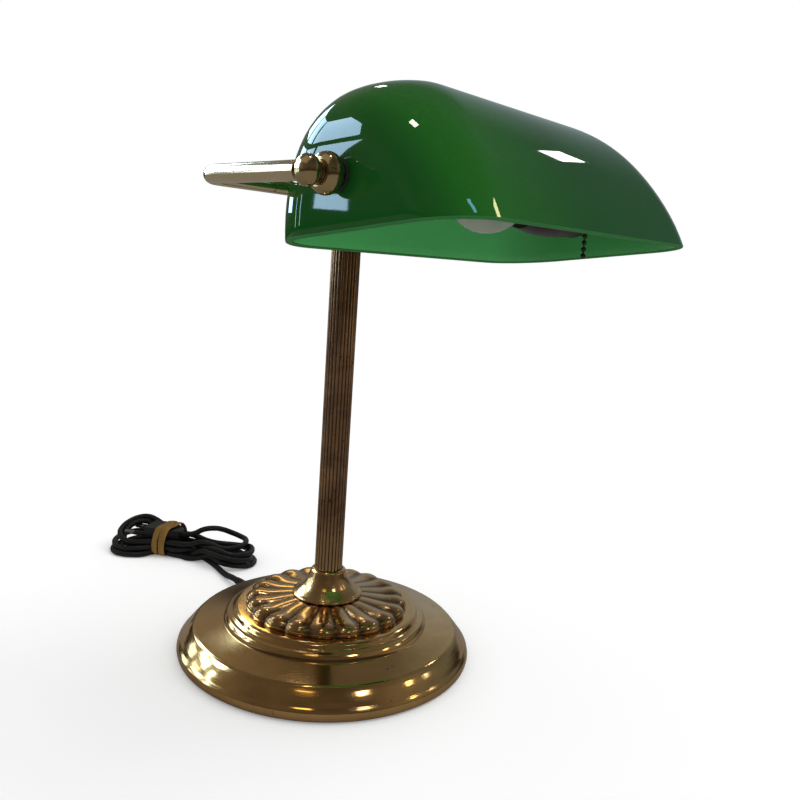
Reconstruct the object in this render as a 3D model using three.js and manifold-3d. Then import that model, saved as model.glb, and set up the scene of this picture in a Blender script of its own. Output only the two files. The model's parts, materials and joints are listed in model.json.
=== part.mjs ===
// Banker's desk lamp: a weighted spun-brass base, a reeded column on a hollow threaded rod, a U-shaped yoke
// and a green glass shade that tilts on two hollow studs. The right stud carries the lamp holder.
// Millimetres, +Z up. The origin is the middle of the base on the table, the shade hangs out towards -Y,
// and its long axis and the pivot axis run along X.
import * as THREE from 'three';
import { mergeVertices } from 'three/addons/utils/BufferGeometryUtils.js';
import { ParametricGeometry } from 'three/addons/geometries/ParametricGeometry.js';
import Module from 'manifold-3d';

const wasm = await Module();
wasm.setup();

// ---- clearances and facets ----
const FIT = 0.3; // between pieces that seat on each other
const FACETS = 40; // round the large turned pieces
const TURNED_FACETS = 32; // round the column's and the holder's turned pieces
const SMALL_FACETS = 20; // round the small ones
const OVERRUN = 2; // how far a cutting tool runs past what it cuts

// ---- base ----
const BASE_RADIUS = 100;
const BAND_RUN = 11; // sloped band, from the rolled edge in to the ridge
const RIDGE_HEIGHT = 18.9;
const STEP_RADIUS = 69.4;
const STEP_FOOT = 22.2;
const STEP_TOP = 27.3;
const LEDGE_RADIUS = 62.6;
const LEDGE_TOP = 31.3;
const ROLL_HEIGHT = 8.6; // rolled edge at the very bottom
const SHELL_BOTTOM = 0.6;
const SHEET = 1.4; // spun sheet wall
const PAD_THICKNESS = 2;
const PAD_MARGIN = 5; // the pad stops this far inside the base

// ---- gadrooned dome and collar ----
const DOME_RADIUS = 55.4;
const DOME_TOP = 38.2;
const DOME_RISE = 1.6; // from the crest in to the collar
const DOME_HOLE = 11;
const GADROONS = 20;
const GADROON_DEPTH = 2.4;
const COLLAR_RADIUS = 23.6;
const COLLAR_TOP = 57.6;
const COLLAR_WALL = 2;
const COLLAR_SEAT = 8; // the column stands this far down inside the collar

// ---- column and threaded rod ----
const COLUMN_RADIUS = 9.5;
const COLUMN_WALL = 1.3;
const REEDS = 24;
const REED_DEPTH = 0.55;
const ROD_RADIUS = 5;
const ROD_BORE = 3.5;
const ROD_BOTTOM = 8;

// ---- weight, washer and nut under the dome ----
const WEIGHT_RADIUS = 80;
const WEIGHT_BOTTOM = PAD_THICKNESS + FIT;
const RECESS_RADIUS = 26;
const RECESS_TOP = 15;
const CHANNEL_WIDTH = 7;
const WASHER_RADIUS = 14;
const WASHER_THICKNESS = 1.5;
const NUT_FLATS = 17;
const NUT_THICKNESS = 4.5;

// ---- yoke ----
const PIVOT_Z = 303;
const YOKE_RADIUS = 4.6;
const YOKE_BORE = 3.4;
const ARM_CLEARANCE = 18; // from the shade's end to the middle of an arm
const BAR_Y = -33.5;
const SWING_CLEARANCE = 11.5; // from the shade's lower back edge to the middle of the bar, as it swings past
const YOKE_BEND = 10;
const ARM_END = 5.2; // the arm stops this far behind the pivot axis
const END_BALL_RADIUS = YOKE_RADIUS + 2.6;
const END_BALL_HALF = YOKE_RADIUS + 0.4;
const TEE_RADIUS = YOKE_RADIUS + 4;
const NECK_RADIUS = 5;
const NECK_BORE = 3.2;

// ---- head of the column ----
const HEAD_RADIUS = 11.5;
const HEAD_BOTTOM = PIVOT_Z - 12;
const HEAD_TOP = PIVOT_Z + 11;
const HEAD_SOCKET = 3; // the column goes this far up into the head
const FINIAL_RADIUS = 8.2;
const FINIAL_HEIGHT = 15;

// ---- glass shade ----
const SHADE_LENGTH = 225;
const SHADE_DEPTH = 132;
const SHADE_HEIGHT = 78;
const SHADE_WALL = 4;
const RIDGE_FROM_BACK = 45.4;
const BACK_CORNER = 36.2;
const FRONT_CORNER = 28.2;
const CORNER_GROWTH = 1.82; // how soon the corners round over towards the top
const END_CURVE = { level: 5.5, run: 3.2 };
const BACK_CURVE = { level: 2.77, run: 1.31 };
const FRONT_CURVE = { level: 1.2, run: 2.35 };
const SHADE_LEVELS = 10;
const SHADE_FACETS = 40; // a multiple of 8
const SHADE_TILT = THREE.MathUtils.degToRad(6.9); // front edge up
const PIVOT_ABOVE_RIM = 24.8;
const PIVOT_FROM_MIDDLE = 4.3; // behind the middle of the shade's depth
const STUD_HOLE = 5;

// ---- studs, washers, knobs and lock nuts on the pivot axis ----
const STUD_RADIUS = 4;
const STUD_BORE = 2.4;
const STUD_START = 2.8; // from the middle of the end ball
const WASHER_RUBBER = 1.2;
const RUBBER_RADIUS = 7.6;
const KNOB_RADIUS = 9.6;
const LOCK_NUT_FLATS = 13;
const LOCK_NUT_THICKNESS = 4.5;

// ---- lamp holder and bulb, along the pivot axis ----
const HOLDER_RADIUS = 14.6;
const HOLDER_WALL = 1.8;
const HOLDER_GAP = 4.5; // from the lock nut to the holder
const HOLDER_CAP_LENGTH = 13;
const HOLDER_LENGTH = 67;
const SWITCH_BLOCK_LENGTH = 18;
const SLEEVE_RADIUS = 8.4;
const SLEEVE_LENGTH = 26;
const CAP_RADIUS = 6.9; // small Edison screw cap
const CAP_LENGTH = 22;
const CONTACT_THICKNESS = 1;
const BULB_RADIUS = 17.4;
const BULB_LENGTH = 76;
const BULB_BELLY = 0.47; // share of the bulb's length from its neck to its widest place
const BULB_WALL = 1;
const STUD_IN_HOLDER = 7;

// ---- pull chain ----
const CHAIN_FROM_BACK = 23; // of the holder
const CHAIN_OUT = HOLDER_RADIUS + 3.1; // in front of the pivot axis
const BEAD_RADIUS = 1.6;
const BEAD_PITCH = 3.9;
const BEADS = 7;
const LINK_RADIUS = 0.5;
const SPOUT_RADIUS = 3.8;
const SPOUT_TOP = PIVOT_Z + 1.5;
const SPOUT_BOTTOM = PIVOT_Z - 6.5;

// ---- lead and mains cord ----
const WIRE_RADIUS = 1.1;
const WIRE_BEND = 2.2;
const CORD_DIAMETER = 4.8;
const CORD_HEIGHT = 5; // of the cord where it leaves the base
const CORD_ANGLE = THREE.MathUtils.degToRad(6); // from straight back towards +X
const RELIEF_FLANGE = 2;
const RELIEF_LENGTH = 19.15;
const RELIEF_RADIUS = 4;
const RELIEF_HOLE = 3;
// From where the cord's line crosses the base's edge; the heights are above the table.
const CORD_ROUTE = [
  [2.3, 21.65, 5.0], [2.7, 24.75, 4.9], [3.15, 27.95, 4.65], [3.6, 31.15, 4.25],
  [4.1, 34.35, 3.75], [4.65, 37.55, 3.25], [5.25, 40.75, 2.85], [5.9, 43.95, 2.6],
  [6.6, 47.15, 2.5], [7.35, 50.35, 2.5], [8.15, 53.55, 2.5], [8.95, 56.75, 2.5],
  [9.42, 58.55, 2.5],
];
const HANK_CENTRE = [7.55, 108.55]; // from the same place
const HANK_HEADING = THREE.MathUtils.degToRad(121); // of its long axis, from +X
const HANK_LOBE = 23.2; // radius of its end loops
const HANK_NEAR = { along: -48, across: -0.85 }; // middle of the end loop nearer the base
const HANK_FAR = { along: 41, across: 6 }; // and of the other one
const HANK_WAIST = 16.4; // half width under the tie
const HANK_HEIGHT = 14.6;
const TIE_PLACE = 14; // of the tie along the hank
const TIE_WIDTH = 12;
const TIE_THICKNESS = 1;
const PLUG_LENGTH = 31;
const PLUG_WIDTH = 22;
const PLUG_THICKNESS = 13.7;
const PLUG_FRONT = 33; // of the plug's face along the hank
const PLUG_ACROSS = -1.3; // of its middle and of the tie's across the hank
const PLUG_BED = 7.8; // of cord under the plug
const PIN_RADIUS = 2;
const PIN_LENGTH = 19;
const PIN_SPACING = 18;

// ---- finishes ----
function finish(color, roughness, metalness) {
  return new THREE.MeshStandardMaterial({ color, roughness, metalness });
}

const BRASS = finish(0xb8924a, 0.2, 1);
const DARK_BRASS = finish(0x6e4f26, 0.35, 1);
const GREEN_GLASS = finish(0x145a28, 0.08, 0);
const OPAL_GLASS = finish(0xe9e6df, 0.25, 0);
const BAKELITE = finish(0x1d1214, 0.3, 0);
const BLACK_RUBBER = finish(0x141414, 0.65, 0);
const STEEL = finish(0x9a9da0, 0.4, 1);
const IRON = finish(0x3b3b3d, 0.75, 0.6);
const FELT = finish(0x1c3a26, 0.95, 0);
const CORD_SHEATH = finish(0x111214, 0.5, 0);
const WIRE = finish(0xc9b98a, 0.5, 0);
const TIE_RUBBER = finish(0xb07a1e, 0.6, 0);

// ---- helpers ----

// Merges shared vertices, drops collapsed triangles and turns the faces outwards.
function closed(geometry) {
  const bare = geometry.clone();
  bare.deleteAttribute('normal');
  bare.deleteAttribute('uv');
  const merged = mergeVertices(bare, 1e-4);
  const position = merged.attributes.position;
  const [a, b, c] = [new THREE.Vector3(), new THREE.Vector3(), new THREE.Vector3()];
  const triangles = [];
  let volume = 0;
  for (let i = 0; i < merged.index.count; i += 3) {
    const corner = [0, 1, 2].map((k) => merged.index.getX(i + k));
    if (new Set(corner).size < 3) continue;
    triangles.push(corner);
    a.fromBufferAttribute(position, corner[0]);
    b.fromBufferAttribute(position, corner[1]);
    c.fromBufferAttribute(position, corner[2]);
    volume += a.dot(b.cross(c));
  }
  merged.setIndex(triangles.flatMap(([p, q, r]) => (volume < 0 ? [p, r, q] : [p, q, r])));
  return merged;
}

function toSolid(geometry) {
  const whole = closed(geometry);
  return new wasm.Manifold(new wasm.Mesh({
    numProp: 3,
    vertProperties: new Float32Array(whole.attributes.position.array),
    triVerts: new Uint32Array(whole.index.array),
  }));
}

function toGeometry(solid) {
  const mesh = solid.getMesh();
  const geometry = new THREE.BufferGeometry();
  geometry.setAttribute('position', new THREE.BufferAttribute(new Float32Array(mesh.vertProperties), 3));
  geometry.setIndex(new THREE.BufferAttribute(new Uint32Array(mesh.triVerts), 1));
  return geometry;
}

function cut(body, ...tools) {
  return toGeometry(tools.reduce((rest, tool) => rest.subtract(toSolid(tool)), toSolid(body)));
}

const join = (...bodies) => toGeometry(bodies.map(toSolid).reduce((whole, body) => whole.add(body)));

// A profile of [radius, height] turned about Z.
function turned(profile, facets = FACETS) {
  const points = profile.map(([radius, height]) => new THREE.Vector2(radius, height));
  return new THREE.LatheGeometry(points, facets).rotateX(Math.PI / 2);
}

// A closed ring profile, which ends where it starts.
const turnedRing = (profile, facets) => turned([...profile, profile[0]], facets);
// The same about X, the profile's second number running along +X.
const turnedX = (profile, facets = SMALL_FACETS) => turned(profile, facets).rotateY(Math.PI / 2);
const turnedRingX = (profile, facets) => turnedX([...profile, profile[0]], facets);

// A round rod from one point to another.
function rod(from, to, radius, facets = SMALL_FACETS) {
  const start = new THREE.Vector3(...from);
  const end = new THREE.Vector3(...to);
  const way = end.clone().sub(start);
  const geometry = new THREE.CylinderGeometry(radius, radius, way.length(), facets);
  const turn = new THREE.Quaternion().setFromUnitVectors(new THREE.Vector3(0, 1, 0), way.normalize());
  geometry.applyQuaternion(turn);
  return geometry.translate(...start.add(end).multiplyScalar(0.5).toArray());
}

// A path of straight runs joined by right-angled bends, with a section only where one is needed.
class BentPath extends THREE.Curve {
  constructor(points, bends, steps) {
    super();
    const corners = points.map((point) => new THREE.Vector3(...point));
    const heading = (i) => corners[i + 1].clone().sub(corners[i]).normalize();
    this.stations = [{ point: corners[0], way: heading(0) }];
    for (let i = 1; i < corners.length - 1; i++) {
      const bend = bends[i - 1];
      for (let k = 0; k <= steps; k++) {
        const turn = ((Math.PI / 2) * k) / steps;
        const [sine, cosine] = [Math.sin(turn), Math.cos(turn)];
        const [into, out] = [heading(i - 1), heading(i)];
        const point = corners[i].clone()
          .addScaledVector(into, bend * (sine - 1)).addScaledVector(out, bend * (1 - cosine));
        this.stations.push({ point, way: into.multiplyScalar(cosine).addScaledVector(out, sine) });
      }
    }
    this.stations.push({ point: corners.at(-1), way: heading(corners.length - 2) });
  }

  at(share) {
    return this.stations[Math.round(share * (this.stations.length - 1))];
  }

  getPointAt(share) {
    return this.at(share).point.clone();
  }

  getTangentAt(share) {
    return this.at(share).way.clone();
  }
}

function circleShape(radius, bore, facets) {
  const ring = (size, turn) => Array.from({ length: facets }, (_, i) => {
    const angle = (turn * i * 2 * Math.PI) / facets;
    return new THREE.Vector2(size * Math.cos(angle), size * Math.sin(angle));
  });
  const shape = new THREE.Shape(ring(radius, 1));
  if (bore) shape.holes.push(new THREE.Path(ring(bore, -1)));
  return shape;
}

function swept(path, radius, steps, facets, bore) {
  const section = circleShape(radius, bore, facets);
  return new THREE.ExtrudeGeometry(section, { extrudePath: path, steps, bevelEnabled: false });
}

function sweptBent(path, radius, facets, bore) {
  return swept(path, radius, path.stations.length - 1, facets, bore);
}

function hexShape(flats, bore) {
  const corner = flats / Math.sqrt(3);
  const points = Array.from({ length: 6 }, (_, i) => new THREE.Vector2(
    corner * Math.cos((i * Math.PI) / 3), corner * Math.sin((i * Math.PI) / 3)));
  const shape = new THREE.Shape(points);
  shape.holes.push(circleShape(bore, 0, SMALL_FACETS));
  return shape;
}

function plate(shape, thickness, curveSegments = 12) {
  return new THREE.ExtrudeGeometry(shape, { depth: thickness, bevelEnabled: false, curveSegments });
}

// The same line moved sideways by the sheet's wall, to its inner face.
function innerFace(profile, wall) {
  return profile.map((point, i) => {
    const before = profile[Math.max(i - 1, 0)];
    const after = profile[Math.min(i + 1, profile.length - 1)];
    const run = [after[0] - before[0], after[1] - before[1]];
    const length = Math.hypot(...run);
    return [point[0] - (wall * run[1]) / length, point[1] + (wall * run[0]) / length];
  });
}

const sheet = (profile, wall) => [...profile, ...innerFace(profile, wall).reverse()];

const ARM_X = SHADE_LENGTH / 2 + ARM_CLEARANCE;
const PIVOT_Y = BAR_Y - SWING_CLEARANCE - Math.hypot(SHADE_DEPTH / 2 - PIVOT_FROM_MIDDLE, PIVOT_ABOVE_RIM);

const lamp = new THREE.Group();

function piece(name, geometry, material, parent = lamp) {
  const mesh = new THREE.Mesh(closed(geometry), material);
  mesh.name = name;
  parent.add(mesh);
  return mesh;
}

// ---- base ----

const RIDGE_RADIUS = BASE_RADIUS - BAND_RUN;
const baseProfile = [
  [BASE_RADIUS - 2.2, SHELL_BOTTOM],
  [BASE_RADIUS - 0.5, SHELL_BOTTOM + 1.4],
  [BASE_RADIUS, ROLL_HEIGHT / 2],
  [BASE_RADIUS - 0.6, ROLL_HEIGHT - 1.6],
  [BASE_RADIUS - 2, ROLL_HEIGHT],
  [BASE_RADIUS - 2.6, ROLL_HEIGHT + 0.6],
  [RIDGE_RADIUS + 0.8, RIDGE_HEIGHT - 0.6],
  [RIDGE_RADIUS - 0.4, RIDGE_HEIGHT],
  [STEP_RADIUS, STEP_FOOT],
  [STEP_RADIUS - 0.6, STEP_FOOT + 2.6],
  [STEP_RADIUS - 2.2, STEP_TOP - 0.4],
  [STEP_RADIUS - 4.4, STEP_TOP],
  [LEDGE_RADIUS + 0.6, STEP_TOP + 0.8],
  [LEDGE_RADIUS - 0.4, LEDGE_TOP - 0.9],
  [LEDGE_RADIUS - 2.2, LEDGE_TOP],
  [DOME_RADIUS - 7, LEDGE_TOP],
];
const cordWay = [Math.sin(CORD_ANGLE), Math.cos(CORD_ANGLE)];
const outward = (distance, height = CORD_HEIGHT) => [distance * cordWay[0], distance * cordWay[1], height];

function baseShell() {
  const hole = rod(outward(BASE_RADIUS - 3 * SHEET - OVERRUN), outward(BASE_RADIUS + OVERRUN), RELIEF_HOLE);
  return cut(turnedRing(sheet(baseProfile, SHEET)), hole);
}

// The height of the sheet's underside over the gentle slope between the ridge and the first step.
function undersideAt(radius) {
  const share = (RIDGE_RADIUS - radius) / (RIDGE_RADIUS - STEP_RADIUS);
  return RIDGE_HEIGHT + share * (STEP_FOOT - RIDGE_HEIGHT) - 1.1 * SHEET;
}

function basePad() {
  const radius = BASE_RADIUS - PAD_MARGIN;
  return turned([[0, 0], [radius, 0], [radius, PAD_THICKNESS], [0, PAD_THICKNESS]]);
}

function baseWeight() {
  const rim = Math.min(WEIGHT_RADIUS, RIDGE_RADIUS - 6);
  const shoulder = STEP_RADIUS + 3;
  const profile = [
    [RECESS_RADIUS, WEIGHT_BOTTOM],
    [rim, WEIGHT_BOTTOM],
    [rim, undersideAt(rim) - FIT],
    [shoulder, undersideAt(shoulder) - FIT],
    [ROD_RADIUS + FIT, undersideAt(shoulder) - FIT],
    [ROD_RADIUS + FIT, RECESS_TOP],
    [RECESS_RADIUS, RECESS_TOP],
  ];
  const reach = rim + OVERRUN;
  const tall = CORD_HEIGHT + CHANNEL_WIDTH / 2 - WEIGHT_BOTTOM + OVERRUN;
  const channel = new THREE.BoxGeometry(CHANNEL_WIDTH, reach, tall);
  channel.translate(0, reach / 2, WEIGHT_BOTTOM - OVERRUN + tall / 2).rotateZ(-CORD_ANGLE);
  return cut(turnedRing(profile), channel);
}

const WASHER_BOTTOM = RECESS_TOP - FIT - WASHER_THICKNESS;
const NUT_BOTTOM = WASHER_BOTTOM - FIT - NUT_THICKNESS;

function baseWasher() {
  const ring = circleShape(WASHER_RADIUS, ROD_RADIUS + FIT, SMALL_FACETS);
  return plate(ring, WASHER_THICKNESS).translate(0, 0, WASHER_BOTTOM);
}

function baseNut() {
  return plate(hexShape(NUT_FLATS, ROD_RADIUS + FIT), NUT_THICKNESS).translate(0, 0, NUT_BOTTOM);
}

// ---- gadrooned dome ----

const DOME_FOOT = LEDGE_TOP + FIT;
const domeProfile = [
  [DOME_RADIUS - 0.4, DOME_FOOT],
  [DOME_RADIUS, DOME_FOOT + 2],
  [DOME_RADIUS - 1.2, DOME_TOP - 2.4],
  [DOME_RADIUS - 3.6, DOME_TOP - 0.6],
  [DOME_RADIUS - 7.4, DOME_TOP],
  [DOME_RADIUS - 16, DOME_TOP - 0.4],
  [COLLAR_RADIUS + 2.4, DOME_TOP + 0.6 * DOME_RISE],
  [DOME_HOLE, DOME_TOP + DOME_RISE],
];

// Lobes round the dome's shoulder that run inwards as shallow flutes.
function gadroonDome() {
  const share = [0.5, 1, 1, 0.9, 0.6, 0.35, 0.2, 0];
  const outer = [[0, DOME_FOOT], ...domeProfile, [0, DOME_TOP + DOME_RISE]];
  const lobed = new THREE.LatheGeometry(outer.map(([r, z]) => new THREE.Vector2(r, z)), 6 * GADROONS);
  const position = lobed.attributes.position;
  for (let i = 0; i < position.count; i++) {
    const depth = GADROON_DEPTH * (share[(i % outer.length) - 1] ?? 0);
    const [x, y, z] = [position.getX(i), position.getY(i), position.getZ(i)];
    const radius = Math.max(Math.hypot(x, z), FIT);
    const groove = depth * (1 - Math.abs(Math.sin((GADROONS * Math.atan2(x, z)) / 2)));
    const shoulder = THREE.MathUtils.clamp((radius - DOME_RADIUS + 16) / 16, 0, 1);
    const scale = (radius - groove * shoulder) / radius;
    position.setXYZ(i, x * scale, y - groove * (1 - shoulder) * 0.7, z * scale);
  }
  const wall = SHEET + GADROON_DEPTH;
  const under = turned([
    [0, DOME_FOOT - OVERRUN],
    [DOME_RADIUS - wall, DOME_FOOT - OVERRUN],
    [DOME_RADIUS - wall, DOME_FOOT + 2],
    [DOME_RADIUS - 4 - wall, DOME_TOP - wall],
    [DOME_HOLE, DOME_TOP - wall],
    [DOME_HOLE, DOME_TOP + 2 * DOME_RISE],
    [0, DOME_TOP + 2 * DOME_RISE],
  ]);
  return cut(lobed.rotateX(Math.PI / 2), under);
}

// ---- collar and column ----

const COLLAR_FOOT = DOME_TOP + DOME_RISE + FIT;
const COLUMN_BOTTOM = COLLAR_TOP - COLLAR_SEAT + FIT;
const COLUMN_TOP = HEAD_BOTTOM + HEAD_SOCKET;

function collar() {
  const top = COLUMN_RADIUS + FIT + COLLAR_WALL;
  return turnedRing([
    [COLLAR_RADIUS, COLLAR_FOOT],
    [COLLAR_RADIUS + 0.3, COLLAR_FOOT + 0.8],
    [COLLAR_RADIUS - 0.4, COLLAR_FOOT + 1.7],
    [COLLAR_RADIUS - 2.2, COLLAR_FOOT + 2.6],
    [(COLLAR_RADIUS + top) / 2 - 0.8, COLLAR_FOOT + 6.6],
    [top + 2, COLLAR_TOP - 6.4],
    [top + 0.5, COLLAR_TOP - 2.4],
    [top - 0.2, COLLAR_TOP],
    [COLUMN_RADIUS + FIT, COLLAR_TOP],
    [COLUMN_RADIUS + FIT, COLLAR_TOP - COLLAR_SEAT],
    [ROD_RADIUS + FIT, COLLAR_TOP - COLLAR_SEAT],
    [ROD_RADIUS + FIT, COLLAR_TOP - COLLAR_SEAT - 3],
    [COLLAR_RADIUS - 9, COLLAR_FOOT],
  ], TURNED_FACETS);
}

function columnTube() {
  const facets = 4 * REEDS;
  const outline = Array.from({ length: facets }, (_, i) => {
    const angle = (i * 2 * Math.PI) / facets;
    const radius = COLUMN_RADIUS - REED_DEPTH * (1 - Math.abs(Math.sin((REEDS * angle) / 2)));
    return new THREE.Vector2(radius * Math.cos(angle), radius * Math.sin(angle));
  });
  const shape = new THREE.Shape(outline);
  shape.holes.push(circleShape(COLUMN_RADIUS - REED_DEPTH - COLUMN_WALL, 0, SMALL_FACETS));
  return plate(shape, COLUMN_TOP - FIT - COLUMN_BOTTOM).translate(0, 0, COLUMN_BOTTOM);
}

const threadedRod = () => plate(circleShape(ROD_RADIUS, ROD_BORE, SMALL_FACETS), PIVOT_Z - 6 - ROD_BOTTOM)
  .translate(0, 0, ROD_BOTTOM);

// ---- head ----

function columnHead() {
  const bore = ROD_RADIUS + FIT;
  const body = turnedRing([
    [COLUMN_RADIUS + FIT, HEAD_BOTTOM],
    [HEAD_RADIUS - 0.4, HEAD_BOTTOM],
    [HEAD_RADIUS, HEAD_BOTTOM + 1.5],
    [HEAD_RADIUS, HEAD_TOP - 3],
    [HEAD_RADIUS - 2.5, HEAD_TOP],
    [bore, HEAD_TOP],
    [bore, COLUMN_TOP],
    [COLUMN_RADIUS + FIT, COLUMN_TOP],
  ], TURNED_FACETS);
  return cut(body, rod([0, -1, PIVOT_Z], [0, -HEAD_RADIUS - OVERRUN, PIVOT_Z], NECK_RADIUS + FIT));
}

function finial() {
  const stem = ROD_RADIUS;
  return turned([
    [0, HEAD_TOP - 4],
    [stem, HEAD_TOP - 4],
    [stem, HEAD_TOP + FIT],
    [FINIAL_RADIUS - 0.6, HEAD_TOP + FIT],
    [FINIAL_RADIUS, HEAD_TOP + 1.4],
    [FINIAL_RADIUS - 2.4, HEAD_TOP + 3.4],
    [FINIAL_RADIUS - 1.6, HEAD_TOP + 6],
    [FINIAL_RADIUS - 1.4, HEAD_TOP + 8.5],
    [FINIAL_RADIUS - 3, HEAD_TOP + 12],
    [1.6, HEAD_TOP + 13.4],
    [0, HEAD_TOP + FINIAL_HEIGHT],
  ], SMALL_FACETS);
}

function headNeck() {
  const inHead = -(ROD_RADIUS + FIT + 1);
  const length = inHead - (BAR_Y + YOKE_RADIUS + FIT);
  return plate(circleShape(NECK_RADIUS, NECK_BORE, SMALL_FACETS), length)
    .rotateX(Math.PI / 2).translate(0, inHead, PIVOT_Z);
}

// ---- yoke ----

function yokeTee() {
  const ball = new THREE.SphereGeometry(TEE_RADIUS, SMALL_FACETS, 14).translate(0, BAR_Y, PIVOT_Z);
  const reach = TEE_RADIUS + OVERRUN;
  return cut(
    ball,
    rod([-reach, BAR_Y, PIVOT_Z], [reach, BAR_Y, PIVOT_Z], YOKE_RADIUS + FIT),
    rod([0, BAR_Y, PIVOT_Z], [0, BAR_Y + reach, PIVOT_Z], NECK_RADIUS + FIT),
  );
}

function yokeTube() {
  const end = PIVOT_Y + ARM_END;
  const path = new BentPath([
    [-ARM_X, end, PIVOT_Z], [-ARM_X, BAR_Y, PIVOT_Z], [ARM_X, BAR_Y, PIVOT_Z], [ARM_X, end, PIVOT_Z],
  ], [YOKE_BEND, YOKE_BEND], 5);
  const wireHole = rod([0, BAR_Y, PIVOT_Z], [0, BAR_Y + YOKE_RADIUS + OVERRUN, PIVOT_Z], NECK_BORE - FIT);
  return cut(sweptBent(path, YOKE_RADIUS, 16, YOKE_BORE), wireHole);
}

// The arm's end: a turned bead on the pivot axis, bored for the stud and for the wires.
function endBall(side) {
  const profile = Array.from({ length: 11 }, (_, i) => {
    const angle = (i * Math.PI) / 10 - Math.PI / 2;
    return [END_BALL_RADIUS * Math.cos(angle), END_BALL_HALF * Math.sin(angle)];
  });
  profile[0][0] = 0;
  profile[10][0] = 0;
  const ball = turnedX(profile);
  const arm = rod([0, ARM_END - FIT, 0], [0, END_BALL_RADIUS + OVERRUN, 0], YOKE_RADIUS + FIT);
  const wires = rod([0, 0, 0], [0, ARM_END, 0], STUD_BORE);
  const turn = rod([side * STUD_BORE, 0, 0], [-side * END_BALL_HALF, 0, 0], STUD_BORE);
  const socket = [STUD_START - FIT, END_BALL_HALF + OVERRUN].map((distance) => [-side * distance, 0, 0]);
  return cut(ball, arm, wires, turn, rod(...socket, STUD_RADIUS + FIT));
}

// ---- pivot axis hardware, each as distances from the middle along one side ----

// How far from the middle the glass stands at a height above its rim.
const glassAt = (height, inset) => shadeLevel(height / (SHADE_HEIGHT - inset), inset).half;
const OUTER_WASHER = glassAt(PIVOT_ABOVE_RIM - RUBBER_RADIUS, 0) + FIT;
const KNOB_START = OUTER_WASHER + WASHER_RUBBER + FIT;
const KNOB_END = ARM_X - END_BALL_HALF;
const INNER_WASHER = glassAt(PIVOT_ABOVE_RIM + RUBBER_RADIUS, SHADE_WALL) - FIT - WASHER_RUBBER;
const LOCK_NUT_START = INNER_WASHER - FIT - LOCK_NUT_THICKNESS;
const HOLDER_CAP_BACK = LOCK_NUT_START - HOLDER_GAP;
const HOLDER_CAP_FRONT = HOLDER_CAP_BACK - HOLDER_CAP_LENGTH;
const HOLDER_MOUTH = HOLDER_CAP_BACK - HOLDER_LENGTH;
const STUD_END = HOLDER_CAP_BACK - STUD_IN_HOLDER;
const CHAIN_X = HOLDER_CAP_BACK - CHAIN_FROM_BACK;

// Turned knob: a flange against the washer, a groove and a bead against the end ball.
function knob() {
  const bore = STUD_RADIUS + FIT;
  const end = KNOB_END - 0.4;
  const middle = (KNOB_START + end) / 2;
  return turnedRingX([
    [bore, KNOB_START],
    [KNOB_RADIUS - 3.4, KNOB_START],
    [KNOB_RADIUS - 1.5, KNOB_START + 1.2],
    [KNOB_RADIUS - 0.4, KNOB_START + 3],
    [KNOB_RADIUS, middle],
    [KNOB_RADIUS - 0.4, end - 3],
    [KNOB_RADIUS - 1.5, end - 1.2],
    [KNOB_RADIUS - 3.4, end],
    [bore, end],
  ], SMALL_FACETS);
}

const rubberWasher = (start) => turnedRingX([
  [STUD_RADIUS + FIT, start], [RUBBER_RADIUS, start],
  [RUBBER_RADIUS, start + WASHER_RUBBER], [STUD_RADIUS + FIT, start + WASHER_RUBBER],
]);
const stud = (end) => turnedRingX([
  [STUD_BORE, end], [STUD_RADIUS, end], [STUD_RADIUS, ARM_X - STUD_START], [STUD_BORE, ARM_X - STUD_START],
]);
const lockNut = () => plate(hexShape(LOCK_NUT_FLATS, STUD_RADIUS + FIT), LOCK_NUT_THICKNESS)
  .rotateY(Math.PI / 2).translate(LOCK_NUT_START, 0, 0);

// ---- glass shade, in its own frame: the middle of its rim, with the front towards -Y ----

function shadeLevel(level, inset) {
  const half = (SHADE_LENGTH / 2 - inset) * (1 - level ** END_CURVE.level) ** (1 / END_CURVE.run);
  const ridge = RIDGE_FROM_BACK - inset;
  const depth = SHADE_DEPTH - 2 * inset;
  const back = ridge * (1 - (1 - level ** BACK_CURVE.level) ** (1 / BACK_CURVE.run));
  const front = ridge + (depth - ridge) * (1 - level ** FRONT_CURVE.level) ** (1 / FRONT_CURVE.run);
  const round = Math.min(half, (front - back) / 2);
  const grow = (corner) => {
    const start = corner - inset;
    return Math.min(round, start + (round - start) * level ** CORNER_GROWTH);
  };
  return { half, back, front, backCorner: grow(BACK_CORNER), frontCorner: grow(FRONT_CORNER), depth };
}

// A point of a level's outline: four sides and four corners, each an eighth of the way round.
function shadePoint(round, level, inset, target) {
  const { half, back, front, backCorner, frontCorner, depth } = shadeLevel(level, inset);
  const eighth = Math.min(7, Math.floor(round * 8 + 1e-6));
  const share = round * 8 - eighth;
  const right = half - backCorner;
  const rightFront = half - frontCorner;
  const arc = (x, y, radius, start) => {
    const angle = start + (share * Math.PI) / 2;
    return [x + radius * Math.cos(angle), y + radius * Math.sin(angle)];
  };
  const line = (from, to) => [from[0] + (to[0] - from[0]) * share, from[1] + (to[1] - from[1]) * share];
  const [x, y] = [
    () => line([-right, back], [right, back]),
    () => arc(right, back + backCorner, backCorner, -Math.PI / 2),
    () => line([half, back + backCorner], [half, front - frontCorner]),
    () => arc(rightFront, front - frontCorner, frontCorner, 0),
    () => line([rightFront, front], [-rightFront, front]),
    () => arc(-rightFront, front - frontCorner, frontCorner, Math.PI / 2),
    () => line([-half, front - frontCorner], [-half, back + backCorner]),
    () => arc(-right, back + backCorner, backCorner, Math.PI),
  ][eighth]();
  target.set(x, depth / 2 - y, level * (SHADE_HEIGHT - inset));
}

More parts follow.
